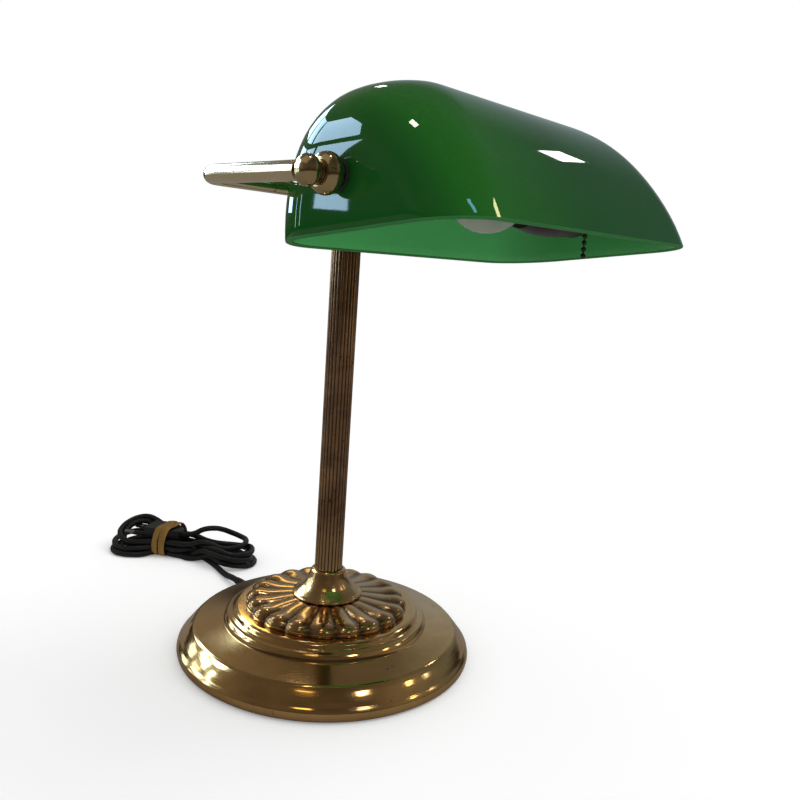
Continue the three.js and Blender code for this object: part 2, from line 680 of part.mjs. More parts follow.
function glassShade() {
  const stacks = 2 * SHADE_LEVELS + 1;
  const surface = (u, v, target) => {
    const row = Math.round(v * stacks);
    const inside = row > SHADE_LEVELS;
    const step = inside ? stacks - row : row;
    const level = step === SHADE_LEVELS ? 0 : Math.cos((Math.PI / 2) * (step / SHADE_LEVELS) ** 1.5);
    shadePoint(u % 1, level, inside ? SHADE_WALL : 0, target);
  };
  const bell = new ParametricGeometry(surface, SHADE_FACETS, stacks);
  const reach = SHADE_LENGTH / 2 + OVERRUN;
  const inner = SHADE_LENGTH / 2 - 2 * SHADE_WALL;
  const hole = (side) => {
    const [from, to] = [inner, reach].map((x) => [side * x, PIVOT_FROM_MIDDLE, PIVOT_ABOVE_RIM]);
    return rod(from, to, STUD_HOLE);
  };
  return cut(bell, hole(-1), hole(1)).translate(0, -PIVOT_FROM_MIDDLE, -PIVOT_ABOVE_RIM);
}

// ---- lamp holder and bulb ----

const SLEEVE_FRONT = HOLDER_MOUTH + 2;
const SLEEVE_BACK = SLEEVE_FRONT + SLEEVE_LENGTH;
const BLOCK_FRONT = SLEEVE_BACK + FIT;
const BLOCK_BACK = BLOCK_FRONT + SWITCH_BLOCK_LENGTH;
const CONTACT_BACK = SLEEVE_BACK - FIT;
const CAP_BACK = CONTACT_BACK - CONTACT_THICKNESS - FIT;
const CAP_FRONT = CAP_BACK - CAP_LENGTH;

function holderCap() {
  const inner = HOLDER_RADIUS - HOLDER_WALL;
  const crown = HOLDER_CAP_BACK - 3;
  return turnedRingX([
    [STUD_RADIUS + FIT, HOLDER_CAP_BACK],
    [HOLDER_RADIUS / 2 - 0.2, HOLDER_CAP_BACK],
    [HOLDER_RADIUS - 3.9, HOLDER_CAP_BACK - 2],
    [HOLDER_RADIUS - 0.6, HOLDER_CAP_BACK - 7],
    [HOLDER_RADIUS, HOLDER_CAP_FRONT + 1],
    [HOLDER_RADIUS, HOLDER_CAP_FRONT],
    [inner, HOLDER_CAP_FRONT],
    [inner, HOLDER_CAP_BACK - 7.5],
    [HOLDER_RADIUS / 2 + 0.8, crown],
    [STUD_RADIUS + FIT, crown],
  ], TURNED_FACETS);
}

function holderShell() {
  const back = HOLDER_CAP_FRONT - FIT;
  const wall = HOLDER_RADIUS - HOLDER_WALL;
  return turnedRingX([
    [wall, back],
    [HOLDER_RADIUS, back],
    [HOLDER_RADIUS, back - 3],
    [HOLDER_RADIUS - 0.6, back - 4],
    [HOLDER_RADIUS - 0.6, HOLDER_MOUTH + 3],
    [HOLDER_RADIUS, HOLDER_MOUTH + 2],
    [HOLDER_RADIUS - 0.4, HOLDER_MOUTH],
    [SLEEVE_RADIUS + FIT, HOLDER_MOUTH],
    [SLEEVE_RADIUS + FIT, HOLDER_MOUTH + 4],
    [wall - 0.4, HOLDER_MOUTH + 6],
  ], TURNED_FACETS);
}

function switchBlock() {
  const radius = HOLDER_RADIUS - HOLDER_WALL - FIT;
  return turnedX([
    [0, BLOCK_FRONT], [radius - 1.3, BLOCK_FRONT], [radius - 1.3, BLOCK_FRONT + 3],
    [radius, BLOCK_FRONT + 4], [radius, BLOCK_BACK], [0, BLOCK_BACK],
  ], TURNED_FACETS);
}

function threadSleeve() {
  const bore = CAP_RADIUS + 0.5;
  const lip = SLEEVE_BACK - 0.8;
  return turnedRingX([
    [bore, SLEEVE_FRONT],
    [SLEEVE_RADIUS, SLEEVE_FRONT],
    [SLEEVE_RADIUS, SLEEVE_BACK],
    [bore - 1.5, SLEEVE_BACK],
    [bore - 1.5, lip],
    [bore, lip],
  ]);
}

function centreContact() {
  const front = CONTACT_BACK - CONTACT_THICKNESS;
  return turnedX([[0, front], [CAP_RADIUS / 2, front], [CAP_RADIUS / 2, CONTACT_BACK], [0, CONTACT_BACK]]);
}

function bulbCap() {
  const turns = 5;
  const pitch = 2.8;
  const start = CAP_FRONT + 5;
  const thread = Array.from({ length: turns }, (_, i) => [
    [CAP_RADIUS, start + (i + 0.25) * pitch], [CAP_RADIUS - 0.6, start + (i + 0.75) * pitch],
  ]).flat();
  const neck = CAP_RADIUS - 1;
  return turnedX([
    [0, CAP_FRONT + 6], [neck, CAP_FRONT + 6], [neck, CAP_FRONT], [CAP_RADIUS, CAP_FRONT], ...thread,
    [CAP_RADIUS - 1.4, CAP_BACK - 2], [3, CAP_BACK], [0, CAP_BACK],
  ]);
}

// Candle-shaped envelope, open at its neck inside the cap.
function bulbGlass() {
  const neckRadius = CAP_RADIUS - 1 - FIT;
  const neckEnd = CAP_FRONT + 5.5;
  const tip = neckEnd - BULB_LENGTH;
  const belly = neckEnd - BULB_LENGTH * BULB_BELLY;
  const fall = (share) => Math.cos((Math.min(share, 1) * Math.PI) / 2);
  const outer = (share) => {
    if (share < 0) return neckRadius + (BULB_RADIUS - neckRadius) * fall(-share / BULB_BELLY) ** 1.5;
    return BULB_RADIUS * fall(share) ** 0.78;
  };
  const front = Array.from({ length: 8 }, (_, i) => {
    const share = 1 - i / 7;
    return [outer(share), belly - share * (belly - tip)];
  });
  front[0][0] = 0;
  const back = Array.from({ length: 5 }, (_, i) => {
    const share = (i + 1) / 5;
    return [outer(-share * BULB_BELLY), belly + share * (neckEnd - 6 - belly)];
  });
  const line = [...front, ...back, [neckRadius, neckEnd]];
  const inside = line.slice(1).map(([radius, x]) => [Math.max(radius - BULB_WALL, 0.4), x]);
  return turnedX([...line, ...inside.reverse(), [0, tip + BULB_WALL]]);
}

// ---- pull chain ----

const CHAIN_TOP = SPOUT_TOP - 1;
const CHAIN_BOTTOM = CHAIN_TOP - (BEADS - 1) * BEAD_PITCH - 2 * BEAD_RADIUS;

function chainSpout() {
  const y = -CHAIN_OUT;
  const spout = rod([CHAIN_X, y, SPOUT_BOTTOM - PIVOT_Z], [CHAIN_X, y, SPOUT_TOP - PIVOT_Z], SPOUT_RADIUS);
  const rootHeight = (SPOUT_TOP + SPOUT_BOTTOM) / 2 + 1 - PIVOT_Z;
  const depth = Math.sqrt(HOLDER_RADIUS ** 2 - rootHeight ** 2);
  const root = rod([CHAIN_X, y, rootHeight], [CHAIN_X, -depth + OVERRUN, rootHeight], SPOUT_RADIUS - 1);
  const holder = rod([CHAIN_X - 9, 0, 0], [CHAIN_X + 9, 0, 0], HOLDER_RADIUS + FIT, TURNED_FACETS);
  const [from, to] = [SPOUT_BOTTOM - OVERRUN, SPOUT_TOP + OVERRUN].map((z) => [CHAIN_X, y, z - PIVOT_Z]);
  return cut(join(spout, root), holder, rod(from, to, BEAD_RADIUS + FIT));
}

function pullChain() {
  const middle = (i) => CHAIN_BOTTOM + BEAD_RADIUS + i * BEAD_PITCH;
  const waist = Math.acos(LINK_RADIUS / BEAD_RADIUS);
  const profile = [[0, CHAIN_BOTTOM]];
  for (let i = 0; i < BEADS; i++) {
    const from = i === 0 ? -Math.PI / 3 : -waist;
    const to = i === BEADS - 1 ? Math.PI / 3 : waist;
    for (let k = 0; k <= 4; k++) {
      const angle = from + ((to - from) * k) / 4;
      profile.push([BEAD_RADIUS * Math.cos(angle), middle(i) + BEAD_RADIUS * Math.sin(angle)]);
    }
  }
  profile.push([0, middle(BEADS - 1) + BEAD_RADIUS]);
  return turned(profile, 8).translate(CHAIN_X, -CHAIN_OUT, -PIVOT_Z);
}

// ---- wires, strain relief and mains cord ----

// The wires run from the strain relief to the rod, up it, through the neck, the bar and the right arm, and
// through the right stud into the lamp holder.
function wires() {
  const path = new BentPath([
    outward(BASE_RADIUS - 3 * SHEET - 2 - FIT), [0, 0, CORD_HEIGHT], [0, 0, PIVOT_Z], [0, BAR_Y, PIVOT_Z],
    [ARM_X, BAR_Y, PIVOT_Z], [ARM_X, PIVOT_Y, PIVOT_Z], [BLOCK_BACK + FIT, PIVOT_Y, PIVOT_Z],
  ], [WIRE_BEND, WIRE_BEND, WIRE_BEND, YOKE_BEND, WIRE_BEND], 3);
  return sweptBent(path, WIRE_RADIUS, 8);
}

function strainRelief() {
  const inner = BASE_RADIUS - 3 * SHEET;
  const flange = BASE_RADIUS + FIT;
  const tip = flange + RELIEF_FLANGE + RELIEF_LENGTH;
  const body = turned([
    [0, inner - 2],
    [RELIEF_HOLE - FIT, inner - 2],
    [RELIEF_HOLE - FIT, flange],
    [RELIEF_RADIUS + 0.6, flange],
    [RELIEF_RADIUS + 0.6, flange + RELIEF_FLANGE],
    [RELIEF_RADIUS - 0.3, flange + RELIEF_FLANGE + 0.6],
    [CORD_DIAMETER / 2 + 0.5, tip],
    [0, tip],
  ], SMALL_FACETS);
  return body.rotateX(-Math.PI / 2).rotateZ(-CORD_ANGLE).translate(0, 0, CORD_HEIGHT);
}

function cordRun() {
  const [edgeX, edgeY] = outward(BASE_RADIUS);
  const points = CORD_ROUTE.map(([x, y, z]) => new THREE.Vector3(edgeX + x, edgeY + y, z));
  return swept(new THREE.CatmullRomCurve3(points), CORD_DIAMETER / 2, points.length, 10);
}

// The hank's outline: two round loops and a straight waist under the tie, its long axis along X.
function hankShape() {
  const shape = new THREE.Shape();
  const [near, far] = [HANK_NEAR, HANK_FAR];
  const [back, front] = [TIE_PLACE - TIE_WIDTH / 2 - 1, TIE_PLACE + TIE_WIDTH / 2 + 1];
  const side = (hand) => PLUG_ACROSS + hand * HANK_WAIST;
  const edge = (end, hand) => end.across + hand * HANK_LOBE;
  shape.absarc(near.along, near.across, HANK_LOBE, Math.PI / 2, (3 * Math.PI) / 2, false);
  shape.bezierCurveTo(near.along + 18, edge(near, -1), back - 14, side(-1), back, side(-1));
  shape.lineTo(front, side(-1));
  shape.bezierCurveTo(front + 8, side(-1), far.along - 8, edge(far, -1), far.along, edge(far, -1));
  shape.absarc(far.along, far.across, HANK_LOBE, -Math.PI / 2, Math.PI / 2, false);
  shape.bezierCurveTo(far.along - 8, edge(far, 1), front + 8, side(1), front, side(1));
  shape.lineTo(back, side(1));
  shape.bezierCurveTo(back - 14, side(1), near.along + 18, edge(near, 1), near.along, edge(near, 1));
  return shape;
}

const HANK_BOTTOM = TIE_THICKNESS + 0.1 + FIT;
const PLUG_BOTTOM = HANK_BOTTOM + PLUG_BED + FIT;

// The hank, with room in its top for the plug that lies among its turns.
function cordHank() {
  const length = PLUG_LENGTH + PIN_LENGTH + 3 * FIT;
  const room = new THREE.BoxGeometry(length, PLUG_WIDTH + 2 * FIT, HANK_HEIGHT);
  const back = PLUG_FRONT - PLUG_LENGTH - FIT;
  room.translate(back + length / 2, PLUG_ACROSS, PLUG_BOTTOM - FIT + HANK_HEIGHT / 2);
  return cut(plate(hankShape(), HANK_HEIGHT, 10).translate(0, 0, HANK_BOTTOM), room);
}

// Elastic tie round the hank's waist and the plug.
function hankTie() {
  const loop = (margin) => {
    const side = HANK_WAIST + FIT + 0.6 + margin;
    const bottom = HANK_BOTTOM - FIT - margin;
    const top = PLUG_BOTTOM + PLUG_THICKNESS + FIT + margin;
    const round = 5 + margin;
    const outline = new THREE.Shape();
    outline.absarc(side - round, top - round, round, 0, Math.PI / 2, false);
    outline.absarc(-side + round, top - round, round, Math.PI / 2, Math.PI, false);
    outline.absarc(-side + margin + 1, bottom + margin + 1, margin + 1, Math.PI, 1.5 * Math.PI, false);
    outline.absarc(side - margin - 1, bottom + margin + 1, margin + 1, 1.5 * Math.PI, 2 * Math.PI, false);
    return outline;
  };
  const band = loop(TIE_THICKNESS);
  band.holes.push(loop(0));
  const geometry = plate(band, TIE_WIDTH, 4).rotateX(Math.PI / 2).rotateZ(Math.PI / 2);
  return geometry.translate(TIE_PLACE - TIE_WIDTH / 2, PLUG_ACROSS, 0);
}

// Flat two-pin plug, its cord end rounded and its pins along the hank.
function plugBody() {
  const half = PLUG_WIDTH / 2;
  const [waist, bend, back] = [0.45, 0.8, 1].map((share) => PLUG_FRONT - share * PLUG_LENGTH);
  const tail = 0.8 * CORD_DIAMETER;
  const bevel = 1.5;
  const shape = new THREE.Shape();
  shape.moveTo(PLUG_FRONT, bevel - half);
  shape.lineTo(PLUG_FRONT, half - bevel);
  shape.lineTo(PLUG_FRONT - bevel, half);
  shape.lineTo(waist, half);
  shape.quadraticCurveTo(bend, 0.85 * half, back, tail);
  shape.lineTo(back, -tail);
  shape.quadraticCurveTo(bend, -0.85 * half, waist, -half);
  shape.lineTo(PLUG_FRONT - bevel, -half);
  return plate(shape, PLUG_THICKNESS, 6).translate(0, PLUG_ACROSS, PLUG_BOTTOM);
}

function plugPin(side) {
  const y = PLUG_ACROSS + (side * PIN_SPACING) / 2;
  const z = PLUG_BOTTOM + PLUG_THICKNESS / 2;
  return rod([PLUG_FRONT + FIT, y, z], [PLUG_FRONT + FIT + PIN_LENGTH, y, z], PIN_RADIUS, 12);
}

// ---- assembly ----

piece('base_shell', baseShell(), BRASS);
piece('base_pad', basePad(), FELT);
piece('base_weight', baseWeight(), IRON);
piece('base_washer', baseWasher(), STEEL);
piece('base_nut', baseNut(), STEEL);
piece('gadroon_dome', gadroonDome(), BRASS);
piece('column_collar', collar(), BRASS);
piece('column_tube', columnTube(), DARK_BRASS);
piece('threaded_rod', threadedRod(), STEEL);
piece('column_head', columnHead(), BRASS);
piece('finial', finial(), BRASS);
piece('head_neck', headNeck(), BRASS);
piece('yoke_tee', yokeTee(), BRASS);
piece('yoke_tube', yokeTube(), BRASS);
piece('wires', wires(), WIRE);

// What sits on the pivot axis has its place measured from it.
const pivot = new THREE.Group();
pivot.position.set(0, PIVOT_Y, PIVOT_Z);
lamp.add(pivot);
for (const [name, side] of [['left', -1], ['right', 1]]) {
  piece(`end_ball_${name}`, endBall(side), BRASS, pivot).position.x = side * ARM_X;
  const hand = new THREE.Group();
  hand.rotation.z = side < 0 ? Math.PI : 0;
  pivot.add(hand);
  piece(`knob_${name}`, knob(), BRASS, hand);
  piece(`stud_${name}`, stud(side < 0 ? LOCK_NUT_START - 2 : STUD_END), STEEL, hand);
  piece(`lock_nut_${name}`, lockNut(), STEEL, hand);
  piece(`outer_washer_${name}`, rubberWasher(OUTER_WASHER), BLACK_RUBBER, hand);
  piece(`inner_washer_${name}`, rubberWasher(INNER_WASHER), BLACK_RUBBER, hand);
}
const shade = new THREE.Group();
shade.rotation.x = -SHADE_TILT;
pivot.add(shade);
piece('glass_shade', glassShade(), GREEN_GLASS, shade);

piece('holder_cap', holderCap(), BAKELITE, pivot);
piece('holder_shell', holderShell(), BAKELITE, pivot);
piece('switch_block', switchBlock(), BAKELITE, pivot);
piece('thread_sleeve', threadSleeve(), BRASS, pivot);
piece('centre_contact', centreContact(), BRASS, pivot);
piece('bulb_cap', bulbCap(), STEEL, pivot);
piece('bulb_glass', bulbGlass(), OPAL_GLASS, pivot);
piece('chain_spout', chainSpout(), DARK_BRASS, pivot);
piece('pull_chain', pullChain(), DARK_BRASS, pivot);

piece('strain_relief', strainRelief(), BLACK_RUBBER);
piece('cord_run', cordRun(), CORD_SHEATH);
const hank = new THREE.Group();
const [edgeX, edgeY] = outward(BASE_RADIUS);
hank.position.set(edgeX + HANK_CENTRE[0], edgeY + HANK_CENTRE[1], 0);
hank.rotation.z = HANK_HEADING;
lamp.add(hank);
piece('cord_hank', cordHank(), CORD_SHEATH, hank);
piece('hank_tie', hankTie(), TIE_RUBBER, hank);
piece('plug_body', plugBody(), CORD_SHEATH, hank);
piece('plug_pin_1', plugPin(-1), STEEL, hank);
piece('plug_pin_2', plugPin(1), STEEL, hank);

export default lamp;
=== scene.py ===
import json
import math

import bmesh
import bpy
from mathutils import Matrix, Quaternion, Vector


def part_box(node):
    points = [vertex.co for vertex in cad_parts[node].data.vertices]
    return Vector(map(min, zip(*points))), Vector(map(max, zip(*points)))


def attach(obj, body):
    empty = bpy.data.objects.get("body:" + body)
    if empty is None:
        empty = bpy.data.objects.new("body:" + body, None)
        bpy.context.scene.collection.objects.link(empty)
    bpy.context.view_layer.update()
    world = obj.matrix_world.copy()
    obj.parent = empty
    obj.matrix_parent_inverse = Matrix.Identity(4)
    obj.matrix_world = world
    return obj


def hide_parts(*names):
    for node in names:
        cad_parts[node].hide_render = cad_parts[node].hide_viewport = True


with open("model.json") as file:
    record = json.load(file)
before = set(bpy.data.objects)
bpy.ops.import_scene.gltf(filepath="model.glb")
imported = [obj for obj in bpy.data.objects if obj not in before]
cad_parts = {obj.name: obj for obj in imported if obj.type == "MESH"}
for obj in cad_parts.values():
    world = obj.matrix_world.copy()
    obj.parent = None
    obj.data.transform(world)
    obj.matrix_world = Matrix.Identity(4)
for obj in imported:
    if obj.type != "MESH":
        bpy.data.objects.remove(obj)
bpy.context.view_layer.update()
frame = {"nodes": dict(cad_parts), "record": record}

# Banker's desk lamp: a spun brass base, a reeded column, a brass yoke and a green glass shade that tilts on
# two hollow studs. Lengths are in millimetres until MM turns them into metres. The origin is the middle of
# the base on the table, the shade hangs out towards -Y, and the pivot axis runs along X.

MM = 0.001
TURN = 2 * math.pi
MERGE = 2e-6  # closer than this, in metres, two vertices are one
YOKE_RADIUS = 4.6

# ---- places, from the frame ----
base_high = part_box("base_shell")[1]
dome_low, dome_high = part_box("gadroon_dome")
collar_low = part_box("column_collar")[0]
column_low, column_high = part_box("column_tube")
head_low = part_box("column_head")[0]
finial_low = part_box("finial")[0]
neck_low, neck_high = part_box("head_neck")
tee_low, tee_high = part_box("yoke_tee")
yoke_low, yoke_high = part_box("yoke_tube")
knob_low, knob_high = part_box("knob_right")
spout_low, spout_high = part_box("chain_spout")
chain_low, chain_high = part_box("pull_chain")
plug_low, plug_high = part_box("plug_body")

pivot = (knob_low + knob_high) / 2
pivot.x = 0
arm = yoke_high.x - YOKE_RADIUS * MM  # from the middle to the line of an arm
bar = (tee_low + tee_high) / 2
plug_height = (plug_low.z + plug_high.z) / 2 / MM
RIGHT = (1, 0, 0)
UP = (0, 0, 1)
BACK = (0, 1, 0)

# ---- sizes, in millimetres ----
SHEET = 1.4  # spun sheet wall
FIT = 0.3  # between pieces that seat on each other

BASE_RADIUS = base_high.x / MM
BASE_LINE = [
    (-2.2, 0.6), (-0.5, 2.0), (0, 4.3), (-0.6, 7.0), (-2.0, 8.6), (-2.6, 9.2), (-4.3, 11.65), (-6.15, 13.95),
    (-8.1, 16.2), (-10.2, 18.3), (-11.4, 18.9),
    (-30.6, 22.2), (-31.2, 24.8), (-32.8, 26.9), (-35.0, 27.3), (-36.8, 28.1), (-37.8, 30.4), (-39.6, 31.3),
    (-51.6, 31.3),
]

DOME_RADIUS = 55.4
DOME_FOOT = dome_low.z / MM
DOME_TOP = dome_high.z / MM
DOME_HOLE = 11
DOME_LINE = [
    (-0.4, 0, 0.6), (0, 1.6, 0.95), (-0.6, 3.3, 1.1), (-2.3, 5.0, 1.2), (-5.0, 6.1, 1.2), (-8.6, 6.6, 1.05),
    (-16, 6.3, 0.45), (-29.4, 7.56, 0.2), (-44.4, 8.2, 0),
]  # out from the radius, up from the foot, and the share of a groove's depth
DOME_SINK = 0.8  # how far down a groove goes on top, as a share of its depth on the side
GADROONS = 20
GADROON_DEPTH = 2.4
GADROON_PHASES = 16  # steps round one gadroon
SHOULDER = 16  # how far in from the edge the grooves turn from the side to the top

COLLAR_LINE = [
    (23.3, -0.5), (23.8, -0.3), (23.8, 0.4), (23.1, 1.1), (21.7, 1.7), (17.0, 6.3), (13.9, 11.0),
    (12.5, 14.6), (11.9, 16.2), (10.9, 17.2), (9.8, 17.5), (9.8, 9.5), (5.3, 9.5), (5.3, 6.5), (14.6, 0),
    (22.6, 0),
]

COLUMN_RADIUS = 9.5
COLUMN_WALL = 1.3
REEDS = 24
REED_DEPTH = 0.55
REED_PHASES = 8  # steps round one reed

HEAD_LINE = [
    (9.8, 0), (11.1, 0), (11.5, 1.5), (11.1, 3.2), (10.6, 4.0), (10.6, 19.0), (11.3, 20.0), (11.2, 21.4),
    (9.0, 23.0), (5.3, 23.0), (5.3, 3.0), (9.8, 3.0),
]
FINIAL_LINE = [
    (0, 0), (5.0, 0), (5.0, 4.3), (7.6, 4.3), (8.2, 5.4), (5.8, 7.4), (6.4, 9.2), (6.9, 11.4), (6.6, 13.4),
    (5.2, 16.0), (2.6, 17.2), (1.4, 17.8), (1.7, 18.4), (0, 19.0),
]
NECK_RADIUS = 5
NECK_TUBE = 4.6
NECK_BORE = 3.2
TEE_RADIUS = 8.6
TEE_FLAT = 6.9  # from the tee's middle to its flats
TEE_COLLAR = 5.6

YOKE_BEND = 10
YOKE_WALL = 1.2
BALL_RADIUS = 7.2
BALL_HALF = 5
KNOB_RADIUS = 9.6

SHADE_LENGTH = 225
SHADE_DEPTH = 132
SHADE_HEIGHT = 78
SHADE_WALL = 4
SHADE_TILT = math.radians(6.9)
RIDGE_FROM_BACK = 45.4
BACK_CORNER = 36.2
FRONT_CORNER = 28.2
CORNER_GROWTH = 1.82
END_CURVE = (5.5, 3.2)
BACK_CURVE = (2.77, 1.31)
FRONT_CURVE = (1.2, 2.35)
SHADE_RINGS = 30
SHADE_SPAN = 22  # faces along each of a ring's eight runs
PIVOT_ABOVE_RIM = 24.8
PIVOT_FROM_MIDDLE = 4.3
STUD_HOLE = 5
STUD_BORE = 4.3  # through what sits on a stud

HOLDER_RADIUS = 14.6
HOLDER_LINE = [(0, 1.4), (8, 1.0), (16, 0.4), (24, 0), (31, 0.1), (38, 0.5), (44, 1.2), (49, 2.0), (53, 2.6)]
HOLDER_BORE = 12.6
BULB_RADIUS = 17.4
BULB_NECK = 5.6
BULB_NECK_LENGTH = 6
BULB_BELLY = 0.57  # share of its length from the neck to its widest place
BEAD_RADIUS = 1.6
BEAD_PITCH = 3.9
BEADS = 7
SPOUT_BORE = 1.9

CORD_DIAMETER = 4.8
CORD_ANGLE = math.radians(6)  # from straight back towards +X
CORD_HEIGHT = 5
RELIEF_START = 100.3  # from the base's middle
RELIEF_LENGTH = 21.15
RELIEF_FLANGE = [(0, -5), (2.7, -5), (2.7, 0), (4.4, 0), (4.6, 0.5), (4.5, 1.8), (3.9, 2.3)]
RELIEF_RIBS = 5
RIB_START = 3.2
RIB_PITCH = 3.1
RIB_RADIUS = 3.75
RIB_TAPER = 0.16
# The cord from its strain relief into the hank, five turns round and up into the plug.
CORD_ROUTE = [
    (10.8, 102.4, 5), (11.8, 111.8, 5), (12.8, 121.1, 5), (14, 130, 4.3), (15.4, 138.8, 3),
    (17.3, 147.6, 2.5), (19.4, 156.3, 2.5), (21.2, 165.2, 2.5), (22.6, 174.1, 2.5),
    (23.2, 183.1, 2.5), (21.9, 192, 2.5), (21, 201, 2.5), (19.1, 209.8, 2.5), (15.7, 218.1, 3.6),
    (11.4, 226, 3.6), (8.9, 234.5, 2.5), (8.9, 243.5, 2.5), (6, 252, 2.5), (-0.9, 257.6, 2.5),
    (-9.7, 259.3, 2.5), (-18.4, 257, 2.5), (-25.2, 251.2, 2.5), (-28.6, 242.9, 2.5),
    (-27.3, 234.1, 2.5), (-21.9, 226.8, 2.5), (-14.5, 221.6, 2.5), (-5.7, 219.4, 3.4),
    (1.5, 214.3, 3.6), (5.3, 206.3, 3), (9.9, 198.8, 2.5), (12.4, 190.2, 2.5), (17.9, 183.4, 3.7),
    (21.8, 176.2, 7), (22.4, 167.3, 7.3), (22, 158.5, 6.8), (26.1, 150.6, 5.7), (33.7, 146.1, 4.2),
    (42.5, 145.2, 2.7), (50.8, 148.8, 2.5), (56, 156.1, 2.5), (56.8, 165.2, 2.5), (53.5, 173.6, 2.5),
    (47.9, 180.8, 2.5), (41.8, 187.6, 2.5), (35.2, 193.9, 2.5), (29.7, 200.9, 2.5),
    (25.9, 209.2, 2.5), (21.5, 217.2, 3.1), (17.2, 225.1, 3.6), (13.4, 233.3, 4.7),
    (9.9, 241.3, 7.1), (5.1, 249.1, 6.7), (-2.4, 253.8, 5.6), (-11.1, 253.9, 4.5),
    (-18.4, 249.2, 3.4), (-21.8, 241.4, 2.7), (-20.3, 233, 2.5), (-14.3, 226.8, 2.5),
    (-5.7, 224.2, 2.5), (2.3, 220.2, 3.6), (7.7, 213, 3.6), (11.6, 205, 2.5), (15.7, 196.9, 3),
    (16.6, 188.6, 6.2), (19, 180.9, 10.2), (19.9, 172, 11.3), (20.8, 163.1, 11.7), (23, 154.3, 11.2),
    (28.7, 147.7, 10), (37, 145.2, 8.5), (45.2, 147.6, 7), (50.7, 154.1, 5.2), (52.3, 162.4, 3.4),
    (51.1, 170.8, 5.6), (46.4, 178.2, 6.2), (40, 184.4, 5.5), (35.9, 192.2, 7), (33.6, 200.8, 5.7),
    (31.4, 209, 3.1), (27.2, 217, 3), (23, 224.9, 3.6), (18.8, 232.8, 4.4), (15.5, 240.7, 7.2),
    (11.1, 248.2, 9.4), (5.9, 255.4, 10.7), (-1.6, 260.2, 10.2), (-10.4, 261.1, 9),
    (-18.6, 257.7, 7.8), (-24.1, 250.7, 7.1), (-25.7, 241.9, 6.2), (-23.3, 233.3, 6.2),
    (-17.1, 226.9, 7), (-9.5, 222.1, 7.5), (-2.1, 217, 8.2), (2.8, 209.4, 8.2), (7.6, 201.7, 7.6),
    (14.5, 195.8, 8.4), (21, 189.7, 7.7), (25, 181.6, 7.3), (28.3, 173.3, 8.4), (32.1, 165.1, 8.4),
    (39.1, 159.5, 8.4), (48, 158.5, 8.2), (55.9, 162.2, 7.2), (60.5, 169.6, 6.3), (60.4, 178.3, 6),
    (55.5, 185.7, 6.1), (47.5, 189.6, 6.4), (40.6, 195.1, 7), (37, 203.3, 7.9), (32.2, 210.9, 7.5),
    (28.6, 219.2, 7.6), (24.1, 227, 7.9), (19.7, 234.6, 10), (15.9, 241.9, 13.7),
    (11.8, 248.7, 18.1), (4.4, 253.1, 20.6), (-3.9, 255.5, 18.8), (-11.3, 254.1, 14.1),
    (-16.5, 248.3, 10.1), (-17.7, 240, 7.5), (-14.2, 232.2, 6.2), (-6.8, 227.2, 6.2),
    (1.9, 225.4, 5.5), (8.9, 220.1, 3.8), (13.3, 212.2, 3.4), (16.7, 204.1, 5.3), (21.3, 197.3, 9.1),
    (23.6, 189, 11.7), (23.5, 180, 12.1), (23.8, 171.1, 14), (24.8, 162.1, 14.3),
    (28.5, 154.2, 12.7), (35.9, 149.4, 11.8), (44.7, 149.1, 11.5), (52.3, 153.7, 11.5),
    (56.4, 161.5, 11.9), (56.3, 170.2, 10), (51.8, 177.9, 9.8), (45, 183.8, 10.4),
    (39.1, 190.6, 10.9), (35.6, 198.9, 11.5), (33.3, 207.5, 12.6), (30.4, 216, 13.1),
    (26, 223.9, 13.2), (21.5, 231.6, 14.3), (18, 239.1, 17.8), (14.9, 246.8, 21.4),
    (10.4, 254.2, 23.5), (3.1, 259.3, 22.5), (-5.3, 260.3, 19.9), (-13.3, 257.4, 17),
    (-18.9, 251.1, 14.3), (-20.6, 242.6, 12.1), (-17.8, 234.2, 11), (-12.1, 227.2, 11.6),
    (-5.5, 221.1, 12.6), (0, 214.1, 13.2), (4.7, 206.4, 13.3), (10, 199.1, 13.1),
    (16.3, 192.5, 13.5), (22.2, 186.2, 16.1), (27.4, 179, 15.1), (30.5, 170.7, 13.5),
    (36.8, 164.4, 13.3), (45.4, 162.4, 13.8), (53.6, 165.3, 14.8), (58.9, 172.1, 15),
    (59.6, 180.8, 15.3), (55.8, 188.4, 17.3), (48.7, 192.6, 20.6), (40.2, 193.7, 23.1),
    (32.1, 197.5, 22.6), (25.2, 201.9, 19), (17.8, 210.8, 16.4),
]
HANK_MIDDLE = (18.0, 208.0)
HANK_HEADING = math.radians(121)
# The tie's wraps: place along the hank, lean across it and lift at its top.
TIE_WRAPS = ((10.2, 2.2, 0.0), (14.0, -1.0, 0.5), (17.9, 1.4, 0.1))
TIE_HALF_WIDTH = 2.7
TIE_HALF_THICKNESS = 0.6
TIE_REACH = 16  # across the hank, where the lean is full
TIE_HEIGHT = 24
# The way round the cords and the plug under the tie: across the hank and up from the table.
TIE_LINE = [
    (-1.3, 24.1), (8.6, 24.0), (11.0, 22.4), (15.6, 14.6), (16.3, 8.0), (14.9, 2.9), (12.6, 1.3), (0, 1.2),
    (-12.6, 1.3), (-15.6, 2.2), (-18.3, 7.4), (-18.3, 14.4), (-13.6, 22.6), (-11.2, 24.0),
]
PLUG_FRONT = 33
PLUG_ACROSS = -1.3
PLUG_WIDTH = 22
PLUG_THICKNESS = 13.7
PLUG_FACE = 12  # length of the plain block behind the pins
PLUG_RIM = 2.2
PLUG_RECESS = 0.5
PLUG_RUNS = (
    (4, 1, 1), (1.2, 0.94, 0.9), (1.6, 1, 1), (1.2, 1.03, 1.05),
    (4, 0.86, 0.95), (4, 0.74, 0.88), (3, 0.66, 0.8),
)  # back from the block: length, and scale across and up
PIN_RADIUS = 2
